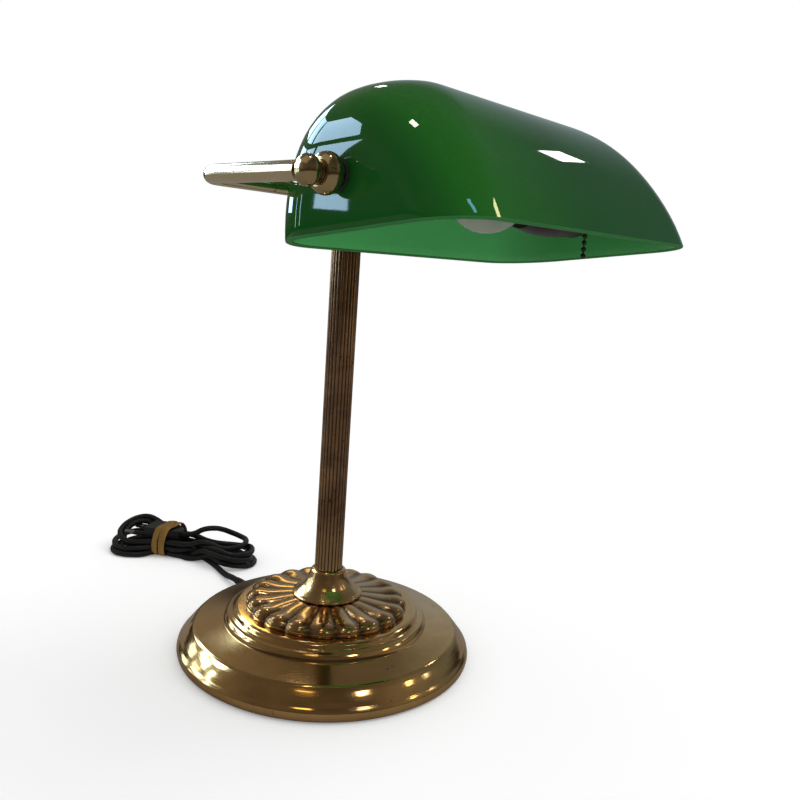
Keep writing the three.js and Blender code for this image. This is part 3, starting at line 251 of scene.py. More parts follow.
PIN_LENGTH = 19
PIN_SPACING = 18
PIN_SLEEVE = 9.6
PIN_STEP = 0.08

# ---- studio, in metres ----
AMBIENT = 0.66
KEY_LIGHT = 0.85
KEY_WAY = Vector((-0.50, 0.50, -1))
FLOOR_COLOUR = 0.93
FLOOR_SEEN = 1.04  # brightness of the lit floor in the camera
SURROUND = 3.2
AIM = Vector((-0.06, -0.11, 0.25))
DAYLIGHT = (0.50, 0.74, 1.0)
SKY = (0.58, 0.82, 1.0)
HAZE = (0.66, 0.86, 1.0)
WARM = (1.0, 0.84, 0.45)
GOLD = (1.0, 0.80, 0.30)
PALE_SIDE = (0.85, 0.46, 0.26)
DARK_SIDE = (-0.60, -0.64, 0.48)
# Window panes and their reflections in the glass: x, y, z, width and height.
WINDOWS = (
    (-0.961, 1.304, 1.10, 0.50, 0.42), (-0.412, 1.512, 1.10, 0.49, 0.42), (0.161, 1.517, 1.10, 0.49, 0.42),
    (-1.138, 1.181, 0.66, 0.14, 0.28), (-0.782, 1.397, 0.66, 0.50, 0.28), (-0.190, 1.540, 0.66, 0.50, 0.28),
)
LOW_PANES = (
    (-1.375, 1.294, 0.43, 0.092, 0.05), (-1.10, 1.50, 0.42, 0.03, 0.30), (-0.78, 1.66, 0.40, 0.03, 0.30),
    (-0.10, 1.86, 0.46, 0.5, 0.10),
)
LOW_WINDOWS = ((-1.16, 1.18), (-0.80, 1.36), (-0.42, 1.50))


# ---- bench: the ways the pieces are made ----

def mode(name):
    bpy.ops.object.mode_set(mode=name)


def clear_selection():
    bpy.ops.object.select_all(action="DESELECT")


def take(piece):
    """Selects one piece alone."""
    clear_selection()
    piece.select_set(True)
    bpy.context.view_layer.objects.active = piece


def placed(name, data):
    """Adds an object with this data to the scene."""
    made = bpy.data.objects.new(name, data)
    bpy.context.scene.collection.objects.link(made)
    return made


def set_down(piece):
    """Puts a piece's place and turn into its mesh."""
    take(piece)
    bpy.ops.object.transform_apply(location=True, rotation=True, scale=True)
    return piece


def named(name):
    """Names the piece just made and puts its place into its mesh."""
    piece = bpy.context.object
    piece.name = name
    piece.data.name = name
    return set_down(piece)


def pick(wanted, kind="VERT"):
    """Selects only the vertices, edges or faces that a test wants, in edit mode."""
    mesh = bpy.context.object.data
    bpy.ops.mesh.select_mode(type=kind)
    bpy.ops.mesh.select_all(action="DESELECT")
    shape = bmesh.from_edit_mesh(mesh)
    for item in {"VERT": shape.verts, "EDGE": shape.edges, "FACE": shape.faces}[kind]:
        if wanted(item):
            item.select_set(True)
    shape.select_flush_mode()
    bmesh.update_edit_mesh(mesh)


def pick_all():
    bpy.ops.mesh.select_all(action="SELECT")


def extrude(move):
    bpy.ops.mesh.extrude_region_move(TRANSFORM_OT_translate={"value": move})


def close_up():
    """Merges doubled vertices and points every face outwards."""
    pick_all()
    bpy.ops.mesh.remove_doubles(threshold=MERGE)
    bpy.ops.mesh.normals_make_consistent(inside=False)


def smooth(piece, angle=32):
    take(piece)
    bpy.ops.object.shade_smooth_by_angle(angle=math.radians(angle))


def finish_with(piece, kind, **settings):
    """Adds a modifier, sets it and applies it."""
    modifier = piece.modifiers.new(kind.title(), kind)
    for key, value in settings.items():
        setattr(modifier, key, value)
    take(piece)
    bpy.ops.object.modifier_apply(modifier=modifier.name)


def joined(name, *pieces):
    clear_selection()
    for piece in pieces:
        piece.select_set(True)
    bpy.context.view_layer.objects.active = pieces[0]
    bpy.ops.object.join()
    return named(name)


def turned(name, line, centre=(0, 0, 0), axis=UP, steps=96, soften=0.0):
    """Draws a line of (radius, place along the axis), rounds its corners and spins it round the axis."""
    along = Vector(axis)
    across = Vector((0, 0, 1)) if abs(along.z) < 0.5 else Vector((1, 0, 0))
    places = [Vector(centre) + (across * radius + along * place) * MM for radius, place in line]
    clear_selection()
    bpy.ops.mesh.primitive_plane_add(size=MM, location=places[0])
    piece = named(name)
    mode("EDIT")
    bpy.ops.mesh.select_mode(type="VERT")
    bpy.ops.mesh.merge(type="CENTER")
    for start, end in zip(places, places[1:]):
        extrude(end - start)
    pick_all()
    if soften:
        bpy.ops.mesh.bevel(offset=soften * MM, segments=3, affect="VERTICES", clamp_overlap=True)
        pick_all()
    bpy.ops.mesh.spin(steps=steps, angle=TURN, center=centre, axis=along)
    close_up()
    mode("OBJECT")
    smooth(piece)
    return piece


def inner_line(line, wall):
    """The same line moved inwards by the sheet's wall."""
    moved = []
    for i, (radius, height) in enumerate(line):
        before, after = line[max(i - 1, 0)], line[min(i + 1, len(line) - 1)]
        run = Vector((after[0] - before[0], after[1] - before[1])).normalized()
        moved.append((radius - wall * run.y, height + wall * run.x))
    return moved


def sheet_line(line, wall=SHEET):
    """A closed line round both faces of a spun sheet."""
    return line + inner_line(line, wall)[::-1] + line[:1]


def copied(piece, name):
    take(piece)
    bpy.ops.object.duplicate()
    return named(name)


def mirrored(piece, name):
    """A copy on the other side of the lamp, its faces turned the right way again."""
    other = copied(piece, name)
    mode("EDIT")
    pick_all()
    bpy.ops.transform.resize(value=(-1, 1, 1), center_override=(0, 0, 0))
    bpy.ops.mesh.normals_make_consistent(inside=False)
    mode("OBJECT")
    return other


def install(piece, body, node, slot, *finishes):
    """Lets a piece stand for a frame node on a body, with its finish."""
    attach(piece, body)
    if node:
        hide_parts(*([node] if isinstance(node, str) else node))
    for material in finishes:
        piece.data.materials.append(material)
    return piece


def onto_hank(piece):
    """Turns and moves a piece made along X at the origin to where the folded cord lies."""
    place = Matrix.Translation(Vector((*HANK_MIDDLE, 0)) * MM)
    piece.matrix_world = place @ Matrix.Rotation(HANK_HEADING, 4, "Z")
    return set_down(piece)


def round_line(name, places, closed=False):
    """A curve that runs smoothly through its places."""
    line = bpy.data.curves.new(name, "CURVE")
    line.dimensions = "3D"
    spline = line.splines.new("BEZIER")
    spline.bezier_points.add(len(places) - 1)
    for point, place in zip(spline.bezier_points, places):
        point.co = Vector(place) * MM
        point.handle_left_type = point.handle_right_type = "AUTO"
    spline.use_cyclic_u = closed
    return line


def meshed(name, line):
    """The mesh of a curve, as a piece."""
    take(placed(name, line))
    bpy.ops.object.convert(target="MESH")
    return named(name)


# ---- camera ----

def set_camera():
    data = bpy.data.cameras.new("camera")
    data.sensor_width = 36
    data.lens = 36.14
    camera = placed("camera", data)
    camera.matrix_world = Matrix((
        (0.67902, 0.07549, -0.73023, -0.36220),
        (-0.73095, 0.16193, -0.66294, -0.38459),
        (0.06820, 0.98391, 0.16514, 0.26552),
        (0, 0, 0, 1),
    ))
    bpy.context.scene.camera = camera


set_camera()


# ---- mains cord ----

def mains_cord():
    """The cord as one smooth round line through its route."""
    line = round_line("mains_cord", CORD_ROUTE)
    line.splines[0].resolution_u = 5
    line.bevel_depth = CORD_DIAMETER / 2 * MM
    line.bevel_resolution = 4
    line.use_fill_caps = True
    return meshed("mains_cord", line)


def strain_relief():
    """A ribbed rubber boot that tapers from its flange at the base down to the cord."""
    line = list(RELIEF_FLANGE)
    for rib in range(RELIEF_RIBS):
        start = RIB_START + RIB_PITCH * rib
        radius = RIB_RADIUS - RIB_TAPER * rib
        line += [(radius, start), (radius, start + 1.9)]
        line += [(radius - 0.55, start + 2.2), (radius - 0.6, start + 2.8)]
    line += [(2.95, RELIEF_LENGTH - 1.6), (2.75, RELIEF_LENGTH - 0.3)]
    line += [(2.45, RELIEF_LENGTH), (0, RELIEF_LENGTH)]
    way = Vector((math.sin(CORD_ANGLE), math.cos(CORD_ANGLE), 0))
    start = way * RELIEF_START * MM + Vector((0, 0, CORD_HEIGHT * MM))
    return turned("cord_boot", line, start, way, steps=48, soften=0.2)


def tie_wrap(name, place, lean, lift):
    """One turn of the flat elastic tie round the folded cord, a little slanted as it was wound."""
    places = [
        (place + lean * across / TIE_REACH, across, height + lift * height / TIE_HEIGHT)
        for across, height in TIE_LINE
    ]
    line = round_line(name, places, closed=True)
    line.bevel_mode = "OBJECT"
    section = bpy.data.curves.new(name + "_section", "CURVE")
    section.dimensions = "2D"
    rim = section.splines.new("POLY")
    corners = 12
    rim.points.add(corners - 1)
    for number, point in enumerate(rim.points):
        angle = number * TURN / corners
        x, y = TIE_HALF_WIDTH * math.cos(angle), TIE_HALF_THICKNESS * math.sin(angle)
        point.co = (x * MM, y * MM, 0, 1)
    rim.use_cyclic_u = True
    former = placed(name + "_section", section)
    line.bevel_object = former
    wrap = meshed(name, line)
    bpy.data.objects.remove(former)
    return wrap


def elastic_tie():
    wraps = [tie_wrap(f"tie_wrap_{number}", *wrap) for number, wrap in enumerate(TIE_WRAPS)]
    tie = joined("elastic_tie", *wraps)
    mode("EDIT")
    close_up()
    mode("OBJECT")
    smooth(tie, 50)
    return onto_hank(tie)


def plug_body():
    """A moulded flat plug: a block drawn out and narrowed towards the cord, with finger ridges."""
    clear_selection()
    middle = Vector((PLUG_FRONT - PLUG_FACE / 2, PLUG_ACROSS, plug_height)) * MM
    bpy.ops.mesh.primitive_cube_add(size=1, location=middle)
    piece = named("flat_plug")
    mode("EDIT")
    pick_all()
    size = (PLUG_FACE * MM, PLUG_WIDTH * MM, PLUG_THICKNESS * MM)
    bpy.ops.transform.resize(value=size, center_override=middle)
    back = middle - Vector((PLUG_FACE / 2 * MM, 0, 0))
    for run, across, tall in PLUG_RUNS:
        pick(lambda face: face.normal.x < -0.9 and face.calc_center_median().x < back.x + MERGE, "FACE")
        extrude((-run * MM, 0, 0))
        back.x -= run * MM
        bpy.ops.transform.resize(value=(1, across, tall), center_override=back)
    pick(lambda face: face.normal.x > 0.9, "FACE")
    bpy.ops.mesh.inset(thickness=PLUG_RIM * MM)
    extrude((-PLUG_RECESS * MM, 0, 0))
    mode("OBJECT")
    finish_with(
        piece, "BEVEL", width=1.3 * MM, segments=3, limit_method="ANGLE", angle_limit=math.radians(35))
    smooth(piece)
    return onto_hank(piece)


def plug_pin(name, side):
    """A turned pin with a sleeve of insulation over its root and a rounded tip."""
    line = [
        (0, 0), (PIN_RADIUS, 0), (PIN_RADIUS, PIN_SLEEVE), (PIN_RADIUS - PIN_STEP, PIN_SLEEVE + 0.2),
        (PIN_RADIUS - PIN_STEP, PIN_LENGTH - 1.4), (PIN_RADIUS - 0.5, PIN_LENGTH - 0.4),
        (PIN_RADIUS - 1.2, PIN_LENGTH), (0, PIN_LENGTH),
    ]
    start = Vector((PLUG_FRONT + FIT, PLUG_ACROSS + side * PIN_SPACING / 2, plug_height)) * MM
    pin = turned(name, line, start, RIGHT, steps=32, soften=0.15)
    for face in pin.data.polygons:
        if face.center.x < start.x + PIN_SLEEVE * MM:
            face.material_index = 1
    return onto_hank(pin)


# ---- base, dome, collar and column ----

def base_shell():
    line = [(BASE_RADIUS + out, height) for out, height in BASE_LINE]
    return turned("spun_base", sheet_line(line), steps=192, soften=0.35)


def flute(rings, count, phases, turned_from=0.0):
    """Draws the vertices of each (radius, height, sideways, down) ring in to grooves between count lobes."""
    for radius, height, sideways, down in rings:
        for phase in range(phases // 2):
            depth = 1 - math.sin(math.pi * phase / phases)
            scale = 1 - sideways * depth / radius

            def in_phase(vertex, radius=radius, height=height, phase=phase):
                if abs(vertex.co.z / MM - height) > 0.02:
                    return False
                if abs(math.hypot(vertex.co.x, vertex.co.y) / MM - radius) > 0.02:
                    return False
                angle = (math.atan2(vertex.co.y, vertex.co.x) - turned_from) * count / TURN
                step = round(angle * phases) % phases
                return min(step, phases - step) == phase

            pick(in_phase)
            bpy.ops.transform.resize(value=(scale, scale, 1), center_override=(0, 0, 0))
            if down:
                bpy.ops.transform.translate(value=(0, 0, -down * depth * MM))


def fine_line(line, parts):
    """The same line with more points, on a smooth curve through its own."""
    fine = []
    for i in range(len(line) - 1):
        before, start, end = line[max(i - 1, 0)], line[i], line[i + 1]
        after = line[min(i + 2, len(line) - 1)]
        for part in range(parts):
            t = part / parts
            fine.append(tuple(
                0.5 * (2 * b + (c - a) * t + (2 * a - 5 * b + 4 * c - d) * t * t
                       + (3 * b - a - 3 * c + d) * t ** 3)
                for a, b, c, d in zip(before, start, end, after)
            ))
    return fine + [line[-1]]


def gadroon_dome():
    """A dome with round lobes on its shoulder that run in to the collar as shallow flutes."""
    outer = [(DOME_RADIUS + out, DOME_FOOT + up, share) for out, up, share in DOME_LINE]
    outer = fine_line(outer, 3)
    wall = SHEET + GADROON_DEPTH
    under = [
        (DOME_HOLE, DOME_TOP - wall), (DOME_RADIUS - 4 - wall, DOME_FOOT + 6.6 - wall),
        (DOME_RADIUS - wall, DOME_FOOT + 2), (DOME_RADIUS - wall, DOME_FOOT),
    ]
    line = [(radius, height) for radius, height, share in outer] + under
    dome = turned("lobed_dome", line + line[:1], steps=GADROONS * GADROON_PHASES)
    rings = []
    for radius, height, share in outer:
        depth = GADROON_DEPTH * share
        shoulder = min(max((radius - DOME_RADIUS + SHOULDER) / SHOULDER, 0), 1)
        rings.append((radius, height, depth * shoulder, DOME_SINK * depth * (1 - shoulder ** 2)))
    mode("EDIT")
    flute([ring for ring in rings if ring[2] + ring[3] > 0.01], GADROONS, GADROON_PHASES)
    close_up()
    mode("OBJECT")
    smooth(dome, 50)
    return dome


def column_collar():
    foot = collar_low.z / MM
    line = [(radius, foot + up) for radius, up in COLLAR_LINE]
    flare = fine_line(line[4:10], 3)
    return turned("flared_collar", line[:4] + flare + line[10:] + line[:1], steps=96, soften=0.15)


def column_tube():
    """A tube drawn with reeds: one reeded ring, raised, turned in and brought down again."""
    clear_selection()
    facets = REEDS * REED_PHASES
    low, high = column_low.z, column_high.z
    bpy.ops.mesh.primitive_circle_add(vertices=facets, radius=COLUMN_RADIUS * MM, location=(0, 0, low))
    piece = named("reeded_tube")
    mode("EDIT")
    flute([(COLUMN_RADIUS, low / MM, REED_DEPTH, 0)], REEDS, REED_PHASES, math.pi / 2)
    pick_all()
    for share in (0.02, 0.31, 0.35, 0.30, 0.02):
        extrude((0, 0, share * (high - low)))
    inside = 1 - (COLUMN_WALL + REED_DEPTH) / COLUMN_RADIUS
    extrude((0, 0, 0))
    bpy.ops.transform.resize(value=(inside, inside, 1), center_override=(0, 0, high))
    extrude((0, 0, low - high))
    pick(lambda edge: edge.is_boundary, "EDGE")
    bpy.ops.mesh.bridge_edge_loops()
    close_up()
    mode("OBJECT")
    smooth(piece, 28)
    return piece


# ---- head, neck, tee and yoke ----

def column_head():
    foot = head_low.z / MM
    line = [(radius, foot + up) for radius, up in HEAD_LINE]
    return turned("turned_head", line + line[:1], steps=96, soften=0.3)


def finial():
    foot = finial_low.z / MM
    line = [(radius, foot + up) for radius, up in FINIAL_LINE]
    return turned("turned_finial", line, steps=72, soften=0.5)


def head_neck():
    """The short tube from the head to the yoke, with a wide bead round its middle."""
    start = Vector((0, neck_low.y, pivot.z))
    long = (neck_high.y - neck_low.y) / MM
    line = [
        (NECK_BORE, 0), (NECK_TUBE, 0), (NECK_TUBE, long * 0.42), (NECK_RADIUS, long * 0.46),
        (NECK_RADIUS, long * 0.58), (NECK_TUBE, long * 0.62), (NECK_TUBE, long), (NECK_BORE, long),
        (NECK_BORE, 0),
    ]
    return turned("beaded_neck", line, start, BACK, steps=64, soften=0.3)


def yoke_tee():
    """A turned bead with a small collar round each of its tube holes."""
    ball = []
    for step in range(15):
        angle = math.pi * (step / 14 - 0.5)
        ball.append((TEE_RADIUS * math.cos(angle), TEE_RADIUS * math.sin(angle)))
    line = [(YOKE_RADIUS, -TEE_RADIUS), (TEE_COLLAR, -TEE_RADIUS), (TEE_COLLAR, -TEE_FLAT)]
    line += [(radius, place) for radius, place in ball if abs(place) < TEE_FLAT]
    line += [(TEE_COLLAR, TEE_FLAT), (TEE_COLLAR, TEE_RADIUS), (YOKE_RADIUS, TEE_RADIUS)]
    return turned("tee_bead", line + line[:1], bar, RIGHT, steps=64, soften=0.25)


def yoke_tube():
    """A ring drawn back along the left arm, round two bends and forward again, with its bore."""
    front = yoke_low.y
    clear_selection()
    bpy.ops.mesh.primitive_circle_add(
        vertices=40, radius=YOKE_RADIUS * MM, location=(-arm, front, pivot.z), rotation=(math.pi / 2, 0, 0))
    piece = named("bent_yoke")
    bend = YOKE_BEND * MM
    mode("EDIT")
    pick_all()

    def draw(x, y):
        extrude((x, y, 0))

    def turn_corner(x, y):
        bpy.ops.mesh.spin(steps=14, angle=math.pi / 2, center=(x, y, pivot.z), axis=(0, 0, 1))

    draw(0, bar.y - bend - front)
    turn_corner(bend - arm, bar.y - bend)
    draw(2 * (arm - bend), 0)
    turn_corner(arm - bend, bar.y - bend)
    draw(0, front - bar.y + bend)
    close_up()
    mode("OBJECT")
    finish_with(piece, "SOLIDIFY", thickness=YOKE_WALL * MM, offset=-1, use_even_offset=True)
    smooth(piece)
    return piece


# ---- pivot hardware ----

def end_ball():
    """The arm's turned end, a bead with a fine groove round its widest place."""
    centre = Vector((arm, pivot.y, pivot.z))
    line = [(0, -BALL_HALF)]
    for step in range(1, 16):
        angle = math.pi * (step / 16 - 0.5)
        line.append((BALL_RADIUS * math.cos(angle), BALL_HALF * math.sin(angle)))
    line.append((0, BALL_HALF))
    return turned("arm_end_right", line, centre, RIGHT, steps=64)


def knob():
    """A turned thumb knob: a round bun with a fine flat at each end."""
    start = knob_low.x / MM
    end = knob_high.x / MM
    middle = (start + end) / 2
    half = (end - start) / 2
    line = [(STUD_BORE, start), (KNOB_RADIUS - 3.2, start)]
    for step in range(-7, 8):
        angle = math.pi / 2 * step / 9
        line.append((KNOB_RADIUS * math.cos(angle) ** 0.55, middle + half * 0.98 * math.sin(angle)))
    line += [(KNOB_RADIUS - 3.2, end), (STUD_BORE, end)]
    return turned("thumb_knob_right", line + line[:1], pivot, RIGHT, steps=96, soften=0.15)


def rubber_washer(name, node):
    low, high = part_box(node)
    start, end = low.x / MM, high.x / MM
    radius = (high.z - low.z) / 2 / MM
    line = [
        (STUD_BORE, start), (radius - 0.3, start), (radius, start + 0.4), (radius, end - 0.4),
        (radius - 0.3, end), (STUD_BORE, end),
    ]
    return turned(name, line + line[:1], pivot, RIGHT, steps=72, soften=0.15)


# ---- glass shade ----

def shade_level(level, inset):
    """The plan of the glass at a level, 0 at the rim and 1 at the ridge, moved in from its outer face."""
    half = (SHADE_LENGTH / 2 - inset) * (1 - level ** END_CURVE[0]) ** (1 / END_CURVE[1])
    ridge = RIDGE_FROM_BACK - inset
    depth = SHADE_DEPTH - 2 * inset
    back = ridge * (1 - (1 - level ** BACK_CURVE[0]) ** (1 / BACK_CURVE[1]))
    front = ridge + (depth - ridge) * (1 - level ** FRONT_CURVE[0]) ** (1 / FRONT_CURVE[1])
    most = min(half, (front - back) / 2)

    def corner(start):
        return min(most, start - inset + (most - start + inset) * level ** CORNER_GROWTH)

    return half, back, front, corner(BACK_CORNER), corner(FRONT_CORNER), depth


def shade_ring(level, inset, lift=0.0):
    """One ring of the glass: four sides and four corners, from the back left corner on."""
    half, back, front, rear, fore, depth = shade_level(level, inset)
    runs = (
        ((rear - half, back), (half - rear, back), None),
        ((half - rear, back + rear), rear, -90),
        ((half, back + rear), (half, front - fore), None),
        ((half - fore, front - fore), fore, 0),
        ((half - fore, front), (fore - half, front), None),
        ((fore - half, front - fore), fore, 90),
        ((-half, front - fore), (-half, back + rear), None),
        ((rear - half, back + rear), rear, 180),
    )
    ring = []
    for start, end, heading in runs:
        for step in range(SHADE_SPAN):
            share = step / SHADE_SPAN
            if heading is None:
                x = start[0] + (end[0] - start[0]) * share
                y = start[1] + (end[1] - start[1]) * share
            else:
                angle = math.radians(heading + 90 * share)
                x, y = start[0] + end * math.cos(angle), start[1] + end * math.sin(angle)
            z = level * (SHADE_HEIGHT - inset) + lift
            ring.append((x, depth / 2 - y - PIVOT_FROM_MIDDLE, z - PIVOT_ABOVE_RIM))
    return ring


def glass_shade():
    """The pressed glass, its outer and inner faces lofted through level rings and joined by a ground rim.

    No primitive can be drawn out to this double curve, so its rings are laid down point by point.
    """
    levels = [math.cos(math.pi / 2 * (step / SHADE_RINGS) ** 1.6) for step in range(SHADE_RINGS)]
    rings = [shade_ring(level, 0) for level in levels]
    edge = len(rings)
    rim = (
        (0, 1.0), (0.25, 0.35), (0.9, 0),
        (SHADE_WALL - 0.9, 0), (SHADE_WALL - 0.25, 0.35), (SHADE_WALL, 1.0))
    rings += [shade_ring(0, inset, lift) for inset, lift in rim]
    inside = len(rings) - 1
    rings += [shade_ring(level, SHADE_WALL) for level in reversed(levels)]
    size = len(rings[0])
    places = [Vector(point) * MM for ring in rings for point in ring]
    faces = []
    for row in range(len(rings) - 1):
        for step in range(size):
            this, beside = row * size + step, row * size + (step + 1) % size
            faces.append((this, this + size, beside + size, beside))
    mesh = bpy.data.meshes.new("shade_glass")
    mesh.from_pydata(places, [], faces)
    for i, face in enumerate(mesh.polygons):
        row = i // size
        face.material_index = 0 if row < edge else 1 if row >= inside else 2
    shade = placed("shade_glass", mesh)
    shade.matrix_world = Matrix.Translation(pivot) @ Matrix.Rotation(-SHADE_TILT, 4, "X")
    set_down(shade)
    mode("EDIT")
    close_up()
    mode("OBJECT")
    reach = SHADE_LENGTH / 2 * MM
    for side in (-1, 1):
        clear_selection()
        bpy.ops.mesh.primitive_cylinder_add(
            vertices=48, radius=STUD_HOLE * MM, depth=4 * SHADE_WALL * MM,
            location=(side * reach, pivot.y, pivot.z), rotation=(0, math.pi / 2, 0))
        drill = named("stud_drill")
        finish_with(shade, "BOOLEAN", operation="DIFFERENCE", object=drill, solver="EXACT")
        bpy.data.objects.remove(drill)
    smooth(shade, 40)
    return shade


# ---- lamp holder, bulb and pull chain ----

def holder_cap():
    low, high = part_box("holder_cap")
    front, back = low.x / MM, high.x / MM
    outer = HOLDER_RADIUS - 1.4
    line = [
        (STUD_BORE, back), (7.6, back), (outer - 4.0, back - 0.7), (outer - 2.4, back - 2.0),
        (outer - 1.0, back - 4.2), (outer - 0.4, back - 7.0), (outer - 0.2, back - 9.4), (outer, back - 9.8),
        (outer, front), (HOLDER_BORE, front), (12.0, back - 7.5), (8.0, back - 3.0), (STUD_BORE, back - 3.0),
    ]
    return turned("holder_crown", line + line[:1], pivot, RIGHT, steps=96, soften=0.3)


def holder_shell():
    """The holder's barrel: round-bodied, narrower towards its plain mouth."""
    low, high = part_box("holder_shell")
    mouth, back = low.x / MM, high.x / MM
    outer = [(HOLDER_RADIUS - less, back - short) for short, less in HOLDER_LINE]
    inner = [(8.7, mouth), (8.7, mouth + 4), (11.0, mouth + 7)]
    inner += [(HOLDER_BORE, mouth + 16), (HOLDER_BORE, back)]
    line = fine_line(outer, 2) + [(HOLDER_RADIUS - 2.8, mouth)] + inner
    return turned("holder_barrel", line + line[:1], pivot, RIGHT, steps=96)


def bulb_glass():
    """A candle-shaped envelope, widest a little behind its middle and drawn in to its neck."""
    low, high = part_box("bulb_glass")
    tip, neck = low.x / MM, high.x / MM
    belly = neck - (neck - tip) * BULB_BELLY
    throat = neck - BULB_NECK_LENGTH
    line = [(0, tip)]
    for step in range(1, 22):
        share = 1 - step / 22
        radius = BULB_RADIUS * math.cos(share * math.pi / 2) ** 0.78
        line.append((radius, belly - share * (belly - tip)))
    for step in range(12):
        share = step / 12
        radius = BULB_NECK + (BULB_RADIUS - BULB_NECK) * math.cos(share * math.pi / 2) ** 1.5
        line.append((radius, belly + share * (throat - belly)))
    line += [(BULB_NECK, throat), (BULB_NECK, neck)]
    inside = [(max(radius - 1, 0.4), place + (1 if place < belly - 20 else 0)) for radius, place in line[1:]]
    line += inside[::-1] + [(0, tip + 1)]
    return turned("candle_bulb", line, pivot, RIGHT, steps=80)


def chain_spout():
    """A flared guide for the chain on a short stem out of the holder."""
    low, high = spout_low.z / MM, spout_high.z / MM
    centre = ((spout_low.x + spout_high.x) / 2, (chain_low.y + chain_high.y) / 2, 0)
    line = [
        (SPOUT_BORE, high), (3.0, high), (3.4, high - 0.8), (3.2, high - 1.8), (3.2, low + 2.4),
        (3.8, low + 1.4), (3.8, low + 0.4), (3.2, low), (SPOUT_BORE, low),
    ]
    guide = turned("chain_guide", line + line[:1], centre, UP, steps=48, soften=0.25)
    middle = (low + high) / 2 + 1
    start = Vector((centre[0], centre[1] + SPOUT_BORE * MM, middle * MM))
    reach = (spout_high.y - start.y) / MM
    line = [(0, 0), (2.4, 0), (2.4, reach * 0.5), (2.8, reach), (0, reach)]
    stem = turned("chain_stem", line, start, BACK, steps=40, soften=0.2)
    spout = joined("flared_spout", guide, stem)
    smooth(spout)
    return spout


def pull_chain():
    """Small balls on short links: one is turned, and the others are copies set below each other."""
    centre = ((chain_low.x + chain_high.x) / 2, (chain_low.y + chain_high.y) / 2, 0)
    low = chain_low.z / MM
    ball = [(0.45, BEAD_PITCH), (0.45, 2 * BEAD_RADIUS - 0.06)]
    for step in range(1, 12):
        angle = math.pi * (0.5 - step / 12)
        ball.append((BEAD_RADIUS * math.cos(angle), BEAD_RADIUS + BEAD_RADIUS * math.sin(angle)))
    ball.append((0, 0))
    first = turned("chain_ball", [(radius, low + up) for radius, up in ball], centre, UP, steps=20)
    balls = [first]
    for number in range(1, BEADS):
        other = copied(first, f"chain_ball_{number}")
        mode("EDIT")
        pick_all()
        bpy.ops.transform.translate(value=(0, 0, number * BEAD_PITCH * MM))
        mode("OBJECT")
        balls.append(other)
    chain = joined("ball_chain", *balls)
    mode("EDIT")
    top = chain_high.z - 0.02 * MM
    pick(lambda vertex: vertex.co.z > top)
    bpy.ops.mesh.delete(type="VERT")
    pick(lambda edge: edge.is_boundary, "EDGE")
    bpy.ops.mesh.edge_face_add()
    mode("OBJECT")
    smooth(chain, 50)
    return chain


# ---- finishes ----

def node(tree, kind, inputs=None, **settings):
    """Adds a node, sets it, and gives each input a value or a link."""
    made = tree.nodes.new(kind)
    for key, value in settings.items():
        setattr(made, key, value)
    for key, value in (inputs or {}).items():
        if isinstance(value, bpy.types.NodeSocket):
            tree.links.new(value, made.inputs[key])
        else:
            made.inputs[key].default_value = value
    return made


def mixed(tree, mask, first, second):
    """A colour between two, by a mask."""
    first, second = (c if isinstance(c, bpy.types.NodeSocket) else (*c, 1) for c in (first, second))
    return node(tree, "ShaderNodeMix", {0: mask, 6: first, 7: second}, data_type="RGBA").outputs[2]


def ranged(tree, value, low, high, start=0.0, end=1.0):
    """A value carried from one range to another, and kept inside it."""
    inputs = {"Value": value, "From Min": start, "From Max": end, "To Min": low, "To Max": high}
    return node(tree, "ShaderNodeMapRange", inputs).outputs[0]


def worked(tree, operation, first, second=0.0):
    return node(tree, "ShaderNodeMath", {0: first, 1: second}, operation=operation).outputs[0]


def times(tree, first, second):
    return worked(tree, "MULTIPLY", first, second)


def plus(tree, first, second):
    return worked(tree, "ADD", first, second)


def here(tree):
    """The place on the object."""
    return node(tree, "ShaderNodeTexCoord").outputs["Object"]


def apart(tree, vector):
    """A vector's three parts."""
    return node(tree, "ShaderNodeSeparateXYZ", {"Vector": vector}).outputs


def noise(tree, place, scale, detail, **inputs):
    inputs = {"Vector": place, "Scale": scale, "Detail": detail, **inputs}
    return node(tree, "ShaderNodeTexNoise", inputs).outputs[0]


def from_upright(tree):
    """How far a place is from the upright axis, and its height."""
    x, y, z = apart(tree, here(tree))
    return worked(tree, "SQRT", plus(tree, times(tree, x, x), times(tree, y, y))), z


def new_group(name, inputs, outputs):
    """An empty shader group with named inputs (and their usual values) and outputs."""
    group = bpy.data.node_groups.new(name, "ShaderNodeTree")
    for label, value in inputs.items():
        socket = group.interface.new_socket(label, in_out="INPUT", socket_type="NodeSocketFloat")
        socket.default_value = value
    for label in outputs:
        group.interface.new_socket(label, in_out="OUTPUT", socket_type="NodeSocketFloat")
    return group, group.nodes.new("NodeGroupInput").outputs, group.nodes.new("NodeGroupOutput").inputs


def build_mottle():
    """Slow clouds and small spots, for tarnish, handling and uneven colour."""
    group, given, out = new_group("mottle", {"Scale": 20.0, "Spots": 0.3}, ("Clouds", "Spots"))
    place = here(group)
    clouds = noise(group, place, given["Scale"], 4.0, Roughness=0.6, Distortion=0.4)
    spots = noise(group, place, times(group, given["Scale"], 14.0), 2.0)
    edge = worked(group, "SUBTRACT", 0.78, times(group, given["Spots"], 0.25))
    group.links.new(ranged(group, clouds, 0, 1, 0.34, 0.66), out["Clouds"])
    group.links.new(ranged(group, spots, 0, 1, edge, plus(group, edge, 0.07)), out["Spots"])
    return group


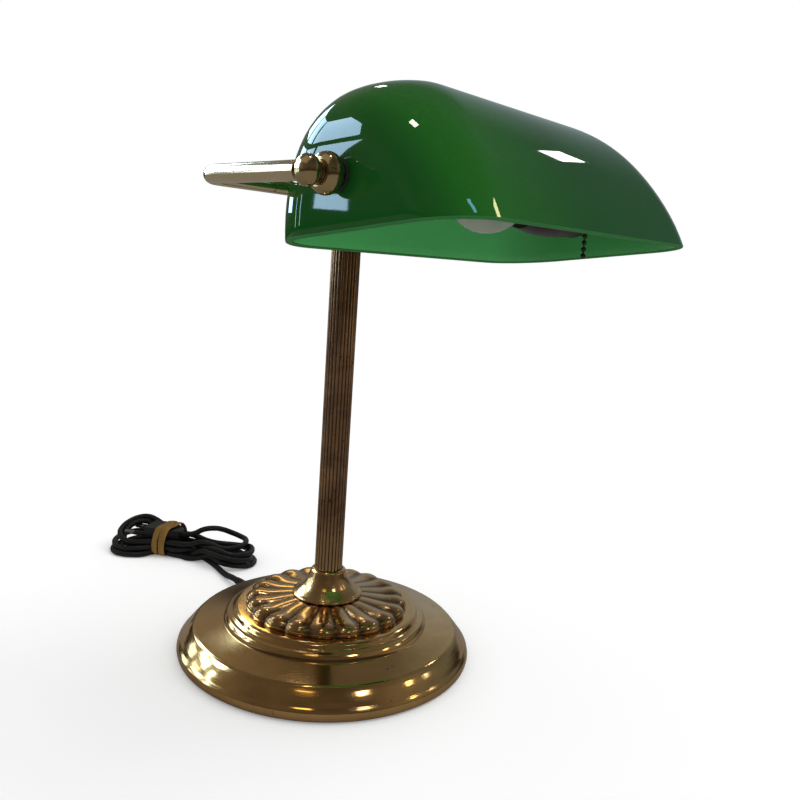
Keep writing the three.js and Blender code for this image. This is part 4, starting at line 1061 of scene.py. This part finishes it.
def build_fine_relief():
    """Fine unevenness and hairline scratches, as a height."""
    group, given, out = new_group("fine_relief", {"Scale": 300.0, "Scratches": 0.3}, ("Height",))
    place = here(group)
    grain = noise(group, place, given["Scale"], 3.0)
    turn = {"Vector": place, "Scale": (9.0, 0.5, 1.4), "Rotation": (0.4, 0.9, 0.6)}
    lines = noise(group, node(group, "ShaderNodeMapping", turn).outputs[0], given["Scale"], 1.0)
    deep = times(group, ranged(group, lines, 0, 1, 0.64, 0.70), given["Scratches"])
    group.links.new(worked(group, "SUBTRACT", grain, deep), out["Height"])
    return group


def build_turning_marks():
    """Faint rings left by a spinning or turning tool round the upright axis."""
    group, given, out = new_group("turning_marks", {"Pitch": 900.0}, ("Height",))
    along = node(group, "ShaderNodeCombineXYZ", {"X": plus(group, *from_upright(group))})
    group.links.new(noise(group, along.outputs[0], given["Pitch"], 3.0), out["Height"])
    return group


def build_dust():
    """Where fine dust lies: on what faces up, in uneven patches."""
    group, given, out = new_group("dust", {"Amount": 0.3}, ("Mask",))
    up = apart(group, node(group, "ShaderNodeNewGeometry").outputs["Normal"])[2]
    patches = ranged(group, noise(group, here(group), 420.0, 3.0, Roughness=0.7), 0, 1, 0.55, 0.75)
    lying = times(group, ranged(group, up, 0, 1, 0.35, 0.95), patches)
    group.links.new(times(group, lying, given["Amount"]), out["Mask"])
    return group


mottle = build_mottle()
fine_relief = build_fine_relief()
turning_marks = build_turning_marks()
dust = build_dust()


def effect(tree, group, **values):
    """Places a shared effect in a material with this material's own values."""
    made = node(tree, "ShaderNodeGroup", node_tree=group)
    for key, value in values.items():
        made.inputs[key.replace("_", " ")].default_value = value
    return made.outputs


def clouds_in(tree, scale, spots=0.0):
    return effect(tree, mottle, Scale=scale, Spots=spots)


def new_finish(name, **settings):
    """A material whose shader has its plain values set; returns it with its tree and shader."""
    material = bpy.data.materials.new(name)
    material.use_nodes = True
    shader = material.node_tree.nodes["Principled BSDF"]
    for key, value in settings.items():
        shader.inputs[key.replace("_", " ")].default_value = value
    return material, material.node_tree, shader.inputs


def raised(tree, inputs, height, strength, distance):
    bump = node(tree, "ShaderNodeBump", {"Height": height, "Strength": strength, "Distance": distance * MM})
    tree.links.new(bump.outputs[0], inputs["Normal"])


def skin(tree, inputs, scale, scratches, strength, distance):
    """Raises a finish by its fine grain and scratches."""
    height = effect(tree, fine_relief, Scale=scale, Scratches=scratches)["Height"]
    raised(tree, inputs, height, strength, distance)


def linked(tree, inputs, **sources):
    for key, source in sources.items():
        tree.links.new(source, inputs[key.replace("_", " ")])


def polished_brass(name, light, dark, spot, rough, marks, grooves=0):
    """Lacquered brass: golden, clouded with brown tarnish, with faint tool rings; where grooves are given,
    painted shade darkens them.
    """
    material, tree, inputs = new_finish(
        name, Metallic=1.0, Coat_Weight=0.35, Coat_Roughness=0.06, Coat_IOR=1.45)
    cloud = clouds_in(tree, 26.0, 0.35)
    shade = times(tree, cloud["Clouds"], ranged(tree, clouds_in(tree, 7.0)["Clouds"], 0.45, 1.0))
    colour = mixed(tree, cloud["Spots"], mixed(tree, shade, light, dark), spot)
    roughness = plus(tree, ranged(tree, cloud["Clouds"], *rough), times(tree, cloud["Spots"], 0.25))
    # painted shade: darker and rougher between the gadroons
    if grooves:
        x, y, _ = apart(tree, here(tree))
        wave = worked(tree, "COSINE", times(tree, worked(tree, "ARCTAN2", y, x), float(grooves)))
        deep = ranged(tree, wave, 0, 0.85, 0.1, 1.0)
        colour = mixed(tree, deep, colour, (0.13, 0.065, 0.028))
        roughness = plus(tree, roughness, times(tree, deep, 0.12))
    rings = effect(tree, turning_marks, Pitch=1500.0)["Height"]
    scratches = effect(tree, fine_relief, Scale=260.0, Scratches=0.5)["Height"]
    linked(tree, inputs, Base_Color=colour, Roughness=roughness)
    raised(tree, inputs, plus(tree, times(tree, rings, marks), times(tree, scratches, 0.5)), 0.12, 0.05)
    return material


def reeded_brass():
    """Antique brass on the column: bright on the reeds, dark brown in the grooves, paler at its foot as
    painted reflection.
    """
    material, tree, inputs = new_finish(
        "aged_brass_reeds", Metallic=1.0, Coat_Weight=0.2, Coat_Roughness=0.12)
    cloud = clouds_in(tree, 34.0, 0.5)
    radius, height = from_upright(tree)
    groove = ranged(tree, radius, 1, 0, (COLUMN_RADIUS - REED_DEPTH) * MM, (COLUMN_RADIUS - 0.12) * MM)
    colour = mixed(tree, cloud["Clouds"], (0.52, 0.30, 0.15), (0.22, 0.115, 0.06))
    # painted reflection: paler just above the collar, fading out by 90 mm up
    colour = mixed(tree, ranged(tree, height, 0.7, 0, 0.055, 0.090), colour, (0.88, 0.58, 0.28))
    colour = mixed(tree, groove, colour, (0.030, 0.018, 0.010))
    colour = mixed(tree, cloud["Spots"], colour, (0.04, 0.025, 0.015))
    roughness = plus(tree, ranged(tree, cloud["Clouds"], 0.16, 0.28), times(tree, groove, 0.25))
    linked(tree, inputs, Base_Color=colour, Roughness=roughness)
    skin(tree, inputs, 340.0, 0.4, 0.2, 0.05)
    return material


def green_glass(name, deep, bright, rough, painted_glow, far):
    """Glass coloured through: glossy, a little wavy from its mould, dusty; painted light near its left end,
    painted shade at its right end.
    """
    material, tree, inputs = new_finish(name, IOR=1.52, Specular_IOR_Level=0.36)
    lying = effect(tree, dust, Amount=0.10)["Mask"]
    along = apart(tree, here(tree))[0]
    # painted light: lighter green just inside the left end, fading out towards the middle
    left = ranged(tree, along, 1.0, 0.0, -0.088, -0.012)
    left = times(tree, left, ranged(tree, along, 0.2, 1.0, -0.1125, -0.101))
    colour = mixed(tree, clouds_in(tree, 5.0)["Clouds"], deep, bright)
    colour = mixed(tree, left, colour, painted_glow)
    # painted shade: darker towards the right end, strongest on the inside
    colour = mixed(tree, ranged(tree, along, 0.0, 0.5, 0.080, 0.112), colour, far)
    colour = mixed(tree, lying, colour, (0.25, 0.33, 0.26))
    linked(tree, inputs, Base_Color=colour, Roughness=plus(tree, rough, times(tree, lying, 0.5)))
    skin(tree, inputs, 14.0, 0.0, 0.10, 0.5)
    return material


def moulded(name, colour, fleck, rough, grain, depth, dusty=0.12, **settings):
    """Moulded plastic, rubber or ground glass: slightly uneven in colour and gloss, with a fine skin."""
    material, tree, inputs = new_finish(name, **settings)
    cloud = clouds_in(tree, 40.0, 0.25)["Clouds"]
    tone = mixed(tree, cloud, colour, fleck)
    tone = mixed(tree, effect(tree, dust, Amount=dusty)["Mask"], tone, (0.20, 0.19, 0.17))
    linked(tree, inputs, Base_Color=tone, Roughness=ranged(tree, cloud, rough - 0.05, rough + 0.08))
    skin(tree, inputs, grain, 0.3, 0.3, depth)
    return material


def plated(name, colour, stain, rough, grain):
    """Plated or cast metal with dull clouds and small stains."""
    material, tree, inputs = new_finish(name, Metallic=1.0)
    cloud = clouds_in(tree, 60.0, 0.4)
    tone = mixed(tree, cloud["Spots"], colour, stain)
    linked(tree, inputs, Base_Color=tone, Roughness=ranged(tree, cloud["Clouds"], rough, rough + 0.18))
    skin(tree, inputs, grain, 0.8, 0.35, 0.08)
    return material


def felt():
    material, tree, inputs = new_finish("felt", Sheen_Weight=0.6, Sheen_Roughness=0.5)
    fibres = effect(tree, fine_relief, Scale=1400.0, Scratches=0.9)["Height"]
    tone = mixed(tree, clouds_in(tree, 90.0, 0.3)["Clouds"], (0.012, 0.055, 0.025), (0.02, 0.085, 0.04))
    linked(tree, inputs, Base_Color=tone, Roughness=ranged(tree, fibres, 0.85, 1.0))
    raised(tree, inputs, fibres, 0.9, 0.4)
    return material


def opal_glass():
    """White glass, drawn grey with a green tint as painted shade and painted green light from the glass
    round it; slightly uneven.
    """
    material, tree, inputs = new_finish("opal_glass", IOR=1.5, Coat_Weight=0.3, Coat_Roughness=0.05)
    cloud = clouds_in(tree, 30.0, 0.1)["Clouds"]
    # painted shade and painted green light: grey-green in place of white
    tone = mixed(tree, cloud, (0.23, 0.27, 0.21), (0.20, 0.23, 0.175))
    linked(tree, inputs, Base_Color=tone, Roughness=ranged(tree, cloud, 0.22, 0.32))
    skin(tree, inputs, 200.0, 0.1, 0.08, 0.05)
    return material


# Each brass: its light, dark and spot colours, its roughness and the depth of its tool rings.
brass = polished_brass(
    "polished_brass", (0.88, 0.53, 0.21), (0.62, 0.36, 0.13), (0.16, 0.09, 0.04), (0.08, 0.15), 0.4)
# The dome's brass is darker than the base's as painted shade, with painted shade in its grooves too.
shaded_dome_brass = polished_brass(
    "shaded_dome_brass", (0.74, 0.44, 0.18), (0.44, 0.255, 0.095), (0.12, 0.07, 0.03), (0.13, 0.20), 0.2, GADROONS)
collar_brass = polished_brass(
    "collar_brass", (0.78, 0.47, 0.20), (0.50, 0.29, 0.11), (0.12, 0.07, 0.03), (0.17, 0.25), 0.2)
bright_brass = polished_brass(
    "bright_brass", (0.86, 0.72, 0.48), (0.74, 0.59, 0.36), (0.15, 0.09, 0.04), (0.09, 0.16), 0.0)
knob_brass = polished_brass(
    "knob_brass", (0.64, 0.48, 0.24), (0.40, 0.29, 0.13), (0.10, 0.07, 0.03), (0.12, 0.20), 0.0)
# The chain and its spout are brass drawn nearly black: painted shade inside the glass.
shaded_chain_brass = polished_brass(
    "shaded_chain_brass", (0.10, 0.075, 0.05), (0.05, 0.035, 0.025), (0.02, 0.015, 0.01), (0.25, 0.35), 0.0)
reeds = reeded_brass()
# The fourth colour of each glass is painted light near its left end, the fifth painted shade near its right
# end.
glass_outside = green_glass(
    "green_glass", (0.0046, 0.056, 0.009), (0.007, 0.070, 0.011), 0.025,
    (0.014, 0.113, 0.013), (0.006, 0.062, 0.011))
# The inside is drawn a much lighter green than the outside: partly a paler inner face, partly painted light
# coming through the glass.
glass_inside = green_glass(
    "green_glass_inside", (0.085, 0.42, 0.125), (0.10, 0.47, 0.145), 0.20,
    (0.092, 0.445, 0.135), (0.01, 0.08, 0.01))
# Each moulded finish: its colour and flecks, its roughness, and the grain and depth of its skin.
glass_rim = moulded(
    "green_glass_rim", (0.020, 0.145, 0.030), (0.028, 0.170, 0.038), 0.5, 300.0, 0.1, 0.0,
    Specular_IOR_Level=0.12)
holder_brown = moulded(
    "bakelite", (0.010, 0.006, 0.007), (0.018, 0.009, 0.010), 0.34, 700.0, 0.06, 0.03,
    Specular_IOR_Level=0.3)
black_rubber = moulded("black_rubber", (0.012, 0.012, 0.012), (0.020, 0.020, 0.019), 0.55, 900.0, 0.12)
cord_black = moulded(
    "cord_sheath", (0.006, 0.006, 0.007), (0.011, 0.011, 0.012), 0.4, 500.0, 0.05, 0.05,
    Coat_Weight=0.15, Coat_Roughness=0.25)
wire_tan = moulded("wire_insulation", (0.42, 0.32, 0.14), (0.50, 0.40, 0.20), 0.45, 600.0, 0.04)
tie_ochre = moulded("tie_rubber", (0.27, 0.145, 0.014), (0.16, 0.075, 0.008), 0.5, 420.0, 0.25, 0.02)
zinc = plated("zinc_steel", (0.48, 0.48, 0.47), (0.16, 0.14, 0.12), 0.28, 500.0)
nickel = plated("nickel", (0.62, 0.60, 0.57), (0.30, 0.27, 0.24), 0.14, 400.0)
iron = plated("cast_iron", (0.05, 0.05, 0.052), (0.10, 0.05, 0.03), 0.55, 220.0)
white_glass = opal_glass()
pad_felt = felt()

SLOT_FINISH = {
    "polished_brass": brass, "aged_brass": reeds, "green_glass": glass_outside, "opal_glass": white_glass,
    "bakelite": holder_brown, "black_rubber": black_rubber, "zinc_steel": zinc, "nickel": nickel,
    "cast_iron": iron, "felt": pad_felt, "cord_sheath": cord_black, "wire_insulation": wire_tan,
    "tie_rubber": tie_ochre,
}


# ---- assembly ----

base = install(base_shell(), "lamp", "base_shell", "polished_brass", brass)
dome = install(gadroon_dome(), "lamp", "gadroon_dome", "polished_brass", shaded_dome_brass)
collar = install(column_collar(), "lamp", "column_collar", "polished_brass", collar_brass)
column = install(column_tube(), "lamp", "column_tube", "aged_brass", reeds)
head = install(column_head(), "lamp", "column_head", "polished_brass", bright_brass)
install(finial(), "lamp", "finial", "polished_brass", bright_brass)
install(head_neck(), "lamp", "head_neck", "polished_brass", bright_brass)
install(yoke_tee(), "lamp", "yoke_tee", "polished_brass", bright_brass)
yoke = install(yoke_tube(), "lamp", "yoke_tube", "polished_brass", bright_brass)

right_ball = end_ball()
left_ball = mirrored(right_ball, "arm_end_left")
right_knob = knob()
left_knob = mirrored(right_knob, "thumb_knob_left")
install(right_ball, "lamp", "end_ball_right", "polished_brass", knob_brass)
install(left_ball, "lamp", "end_ball_left", "polished_brass", knob_brass)
install(right_knob, "right_knob", "knob_right", "polished_brass", knob_brass)
install(left_knob, "left_knob", "knob_left", "polished_brass", knob_brass)
for place in ("outer_washer_left", "outer_washer_right", "inner_washer_left", "inner_washer_right"):
    seal = rubber_washer(place.replace("washer", "seal"), place)
    install(seal, "shade", place, "black_rubber", black_rubber)
arms = (yoke, right_ball, left_ball, right_knob, left_knob)
uprights = (column, head)
shade = install(glass_shade(), "shade", "glass_shade", "green_glass", glass_outside, glass_inside, glass_rim)

install(holder_cap(), "lamp", "holder_cap", "bakelite", holder_brown)
install(holder_shell(), "lamp", "holder_shell", "bakelite", holder_brown)
install(bulb_glass(), "lamp", "bulb_glass", "opal_glass", white_glass)
install(chain_spout(), "lamp", "chain_spout", "aged_brass", shaded_chain_brass)
install(pull_chain(), "chain", "pull_chain", "aged_brass", shaded_chain_brass)

relief = install(strain_relief(), "lamp", "strain_relief", "black_rubber", black_rubber)
tie = install(elastic_tie(), "lamp", "hank_tie", "tie_rubber", tie_ochre)
plug = install(plug_body(), "lamp", "plug_body", "cord_sheath", cord_black)
for number, side in ((1, -1), (2, 1)):
    name = f"plug_pin_{number}"
    pin = install(plug_pin(f"turned_pin_{number}", side), "lamp", name, "nickel", nickel, cord_black)
cord = install(mains_cord(), "lamp", ("cord_run", "cord_hank"), "cord_sheath", cord_black)

for entry in frame["record"]["subparts"]:
    kept = frame["nodes"][entry["node"]]
    kept.data.materials.clear()
    kept.data.materials.append(SLOT_FINISH[entry["material_slot"]])


# ---- floor, background and lamps ----

def rays(tree):
    """Light Path's masks: a ray from the camera, from a glossy surface, and either one or through glass."""
    path = node(tree, "ShaderNodeLightPath").outputs
    camera_ray, glossy_ray = path["Is Camera Ray"], path["Is Glossy Ray"]
    seen = worked(tree, "MAXIMUM", camera_ray, glossy_ray)
    return camera_ray, glossy_ray, worked(tree, "MAXIMUM", seen, path["Is Transmission Ray"])


def set_world():
    """White all round: full strength where it is seen, and lower as light on a surface."""
    world = bpy.data.worlds.new("studio")
    world.use_nodes = True
    tree = world.node_tree
    back = tree.nodes["Background"]
    back.inputs["Color"].default_value = (1, 1, 1, 1)
    tree.links.new(ranged(tree, rays(tree)[2], AMBIENT, 1.0), back.inputs["Strength"])
    bpy.context.scene.world = world


def lay_floor():
    """White where the camera sees it lit, with the lamp's soft shadow on it; duller in polished metal."""
    clear_selection()
    bpy.ops.mesh.primitive_plane_add(size=12, location=(0, 0, 0))
    floor = named("floor")
    material, tree, inputs = new_finish(
        "pale_floor", Roughness=0.8, Specular_IOR_Level=0.0, Emission_Strength=1.0)
    camera_ray, glossy_ray, _ = rays(tree)
    down = KEY_WAY.normalized().dot((0, 0, -1))
    lift = FLOOR_SEEN - FLOOR_COLOUR * (AMBIENT + KEY_LIGHT * down / math.pi)
    linked(
        tree, inputs, Base_Color=mixed(tree, glossy_ray, (FLOOR_COLOUR,) * 3, (0.265, 0.255, 0.24)),
        Emission_Color=mixed(tree, camera_ray, (0, 0, 0), (lift,) * 3))
    floor.data.materials.append(material)


def hang_surround():
    """Grey-brown cloths and cards round the set, which polished metal and glass mirror as a dim room."""
    clear_selection()
    bpy.ops.mesh.primitive_uv_sphere_add(segments=64, ring_count=32, radius=SURROUND)
    surround = named("surround")
    mode("EDIT")
    pick_all()
    bpy.ops.mesh.bisect(plane_co=(0, 0, 0.002), plane_no=UP, clear_inner=True)
    pick_all()
    bpy.ops.mesh.normals_make_consistent(inside=True)
    mode("OBJECT")
    material, tree, inputs = new_finish(
        "grey_cloth", Base_Color=(0, 0, 0, 1), Specular_IOR_Level=0.0, Emission_Strength=1.0)
    place = here(tree)
    x, _, height = apart(tree, place)

    def within(value, low, high, start, end):
        return ranged(tree, value, low, high, start * SURROUND, end * SURROUND)

    def towards(way):
        measure = node(tree, "ShaderNodeVectorMath", {0: place, 1: way}, operation="DOT_PRODUCT")
        return measure.outputs["Value"]

    level = times(tree, within(height, 0, 1, 0.08, 0.26), within(height, 1, 0.6, 0.6, 0.95))
    folds = noise(tree, place, 0.5, 2.0)
    level = times(tree, level, ranged(tree, folds, 0.6, 1.0, 0.38, 0.62))
    bright = mixed(tree, within(x, 0, 1, 0.2, 0.9), (0.215, 0.195, 0.17), (0.15, 0.18, 0.185))
    cloth = mixed(tree, level, (0.030, 0.026, 0.023), bright)
    cloth = mixed(tree, within(towards(DARK_SIDE), 0, 0.55, 0.3, 0.85), cloth, (0.022, 0.018, 0.015))
    cloth = mixed(tree, within(towards(PALE_SIDE), 0, 1, 0.84, 1), cloth, (0.31, 0.36, 0.39))
    linked(tree, inputs, Emission_Color=cloth)
    surround.data.materials.append(material)
    for kind in ("camera", "diffuse", "transmission", "shadow", "volume_scatter"):
        setattr(surround, f"visible_{kind}", False)


def hang_lamp(name, place, size, power, colour=(1, 1, 1), roll=0, on=()):
    """A soft box that shows only as a highlight, on all pieces or on some of them."""
    data = bpy.data.lights.new(name, "AREA")
    data.shape = "RECTANGLE"
    data.size, data.size_y = size
    data.energy = power * size[0] * size[1] * math.pi
    data.color = colour
    lamp = placed(name, data)
    lamp.location = place
    facing = (AIM - Vector(place)).to_track_quat("-Z", "Y")
    lamp.rotation_euler = (facing @ Quaternion((0, 0, 1), math.radians(roll))).to_euler()
    lamp.visible_camera = lamp.visible_diffuse = False
    if on:
        lit = bpy.data.collections.new(name + "_lights")
        for piece in on:
            lit.objects.link(piece)
        lamp.light_linking.receiver_collection = lit


def hang_key():
    """A broad soft light from above and in front."""
    data = bpy.data.lights.new("key", "SUN")
    data.energy = KEY_LIGHT
    data.angle = math.radians(40)
    lamp = placed("key", data)
    lamp.location = (-0.5, -0.5, 2)
    lamp.rotation_euler = KEY_WAY.to_track_quat("-Z", "Y").to_euler()
    lamp.visible_glossy = False


set_world()
lay_floor()
hang_surround()
hang_key()
foot = (base, dome, collar)
metal = (*foot, *uprights, *arms)
hang_lamp("panel_right", (1.50, -0.025, 1.305), (0.09, 0.09), 14, roll=45)
hang_lamp("panel_top", (-0.34, -0.09, 2.10), (0.13, 0.20), 24, (1.0, 0.96, 0.85))
hang_lamp("panel_back", (0.77, 1.02, 1.44), (0.08, 0.14), 11)
hang_lamp("blue_strip", (-0.30, -1.50, 1.30), (0.17, 0.98), 11, (0.26, 0.66, 1.0), on=(shade,))
hang_lamp("yellow_strip", (1.11, -1.10, 1.45), (0.22, 0.24), 15, (1.0, 0.90, 0.45), on=(shade,))
hang_lamp("foot_white", (-0.12, -1.40, 1.56), (0.25, 0.14), 8, (0.95, 0.98, 1.0), on=foot)
hang_lamp("foot_warm", (0.97, -1.37, 1.20), (0.16, 0.12), 6, WARM, on=foot)
hang_lamp("foot_right", (1.26, -1.03, 0.90), (0.10, 0.10), 5, on=foot)
hang_lamp("foot_yellow", (-1.07, -0.62, 1.70), (0.34, 0.14), 3, GOLD, on=foot)
hang_lamp("foot_back", (0.76, 1.10, 0.75), (0.34, 0.12), 3, GOLD, on=foot)
hang_lamp("arm_sky", (-1.20, 0.40, 1.90), (1.6, 1.6), 0.25, (1.0, 0.96, 0.90), on=arms)
hang_lamp("column_gold", (0.098, -0.425, 0.22), (0.08, 0.12), 1.1, (1.0, 0.78, 0.42), on=(column,))
hang_lamp("column_edge", (-0.05, 0.49, 0.13), (0.10, 0.24), 0.9, (0.80, 0.90, 1.0), on=(column,))
for number, (x, y, z, wide, high) in enumerate(WINDOWS):
    place = (x, y, z)
    hang_lamp(f"window_{number}", place, (wide, high), 12, DAYLIGHT, on=(shade, *arms))
    hang_lamp(f"foot_window_{number}", place, (0.8 * wide, 0.8 * high), 12, (0.50, 0.77, 1.0), on=(base,))
    hang_lamp(f"dim_window_{number}", place, (0.6 * wide, 0.7 * high), 3.0, HAZE, on=(dome, *uprights))
    hang_lamp(f"collar_window_{number}", place, (0.6 * wide, 0.8 * high), 15, SKY, on=(collar,))
for number, (x, y) in enumerate(LOW_WINDOWS):
    hang_lamp(f"low_window_{number}", (x, y, 0.30), (0.28, 0.22), 3.5, (0.62, 0.84, 1.0), on=metal)
for number, (x, y, z, wide, high) in enumerate(LOW_PANES):
    hang_lamp(f"low_pane_{number}", (x, y, z), (wide, high), 12, DAYLIGHT, on=(shade,))
bpy.context.scene.view_settings.view_transform = "Standard"
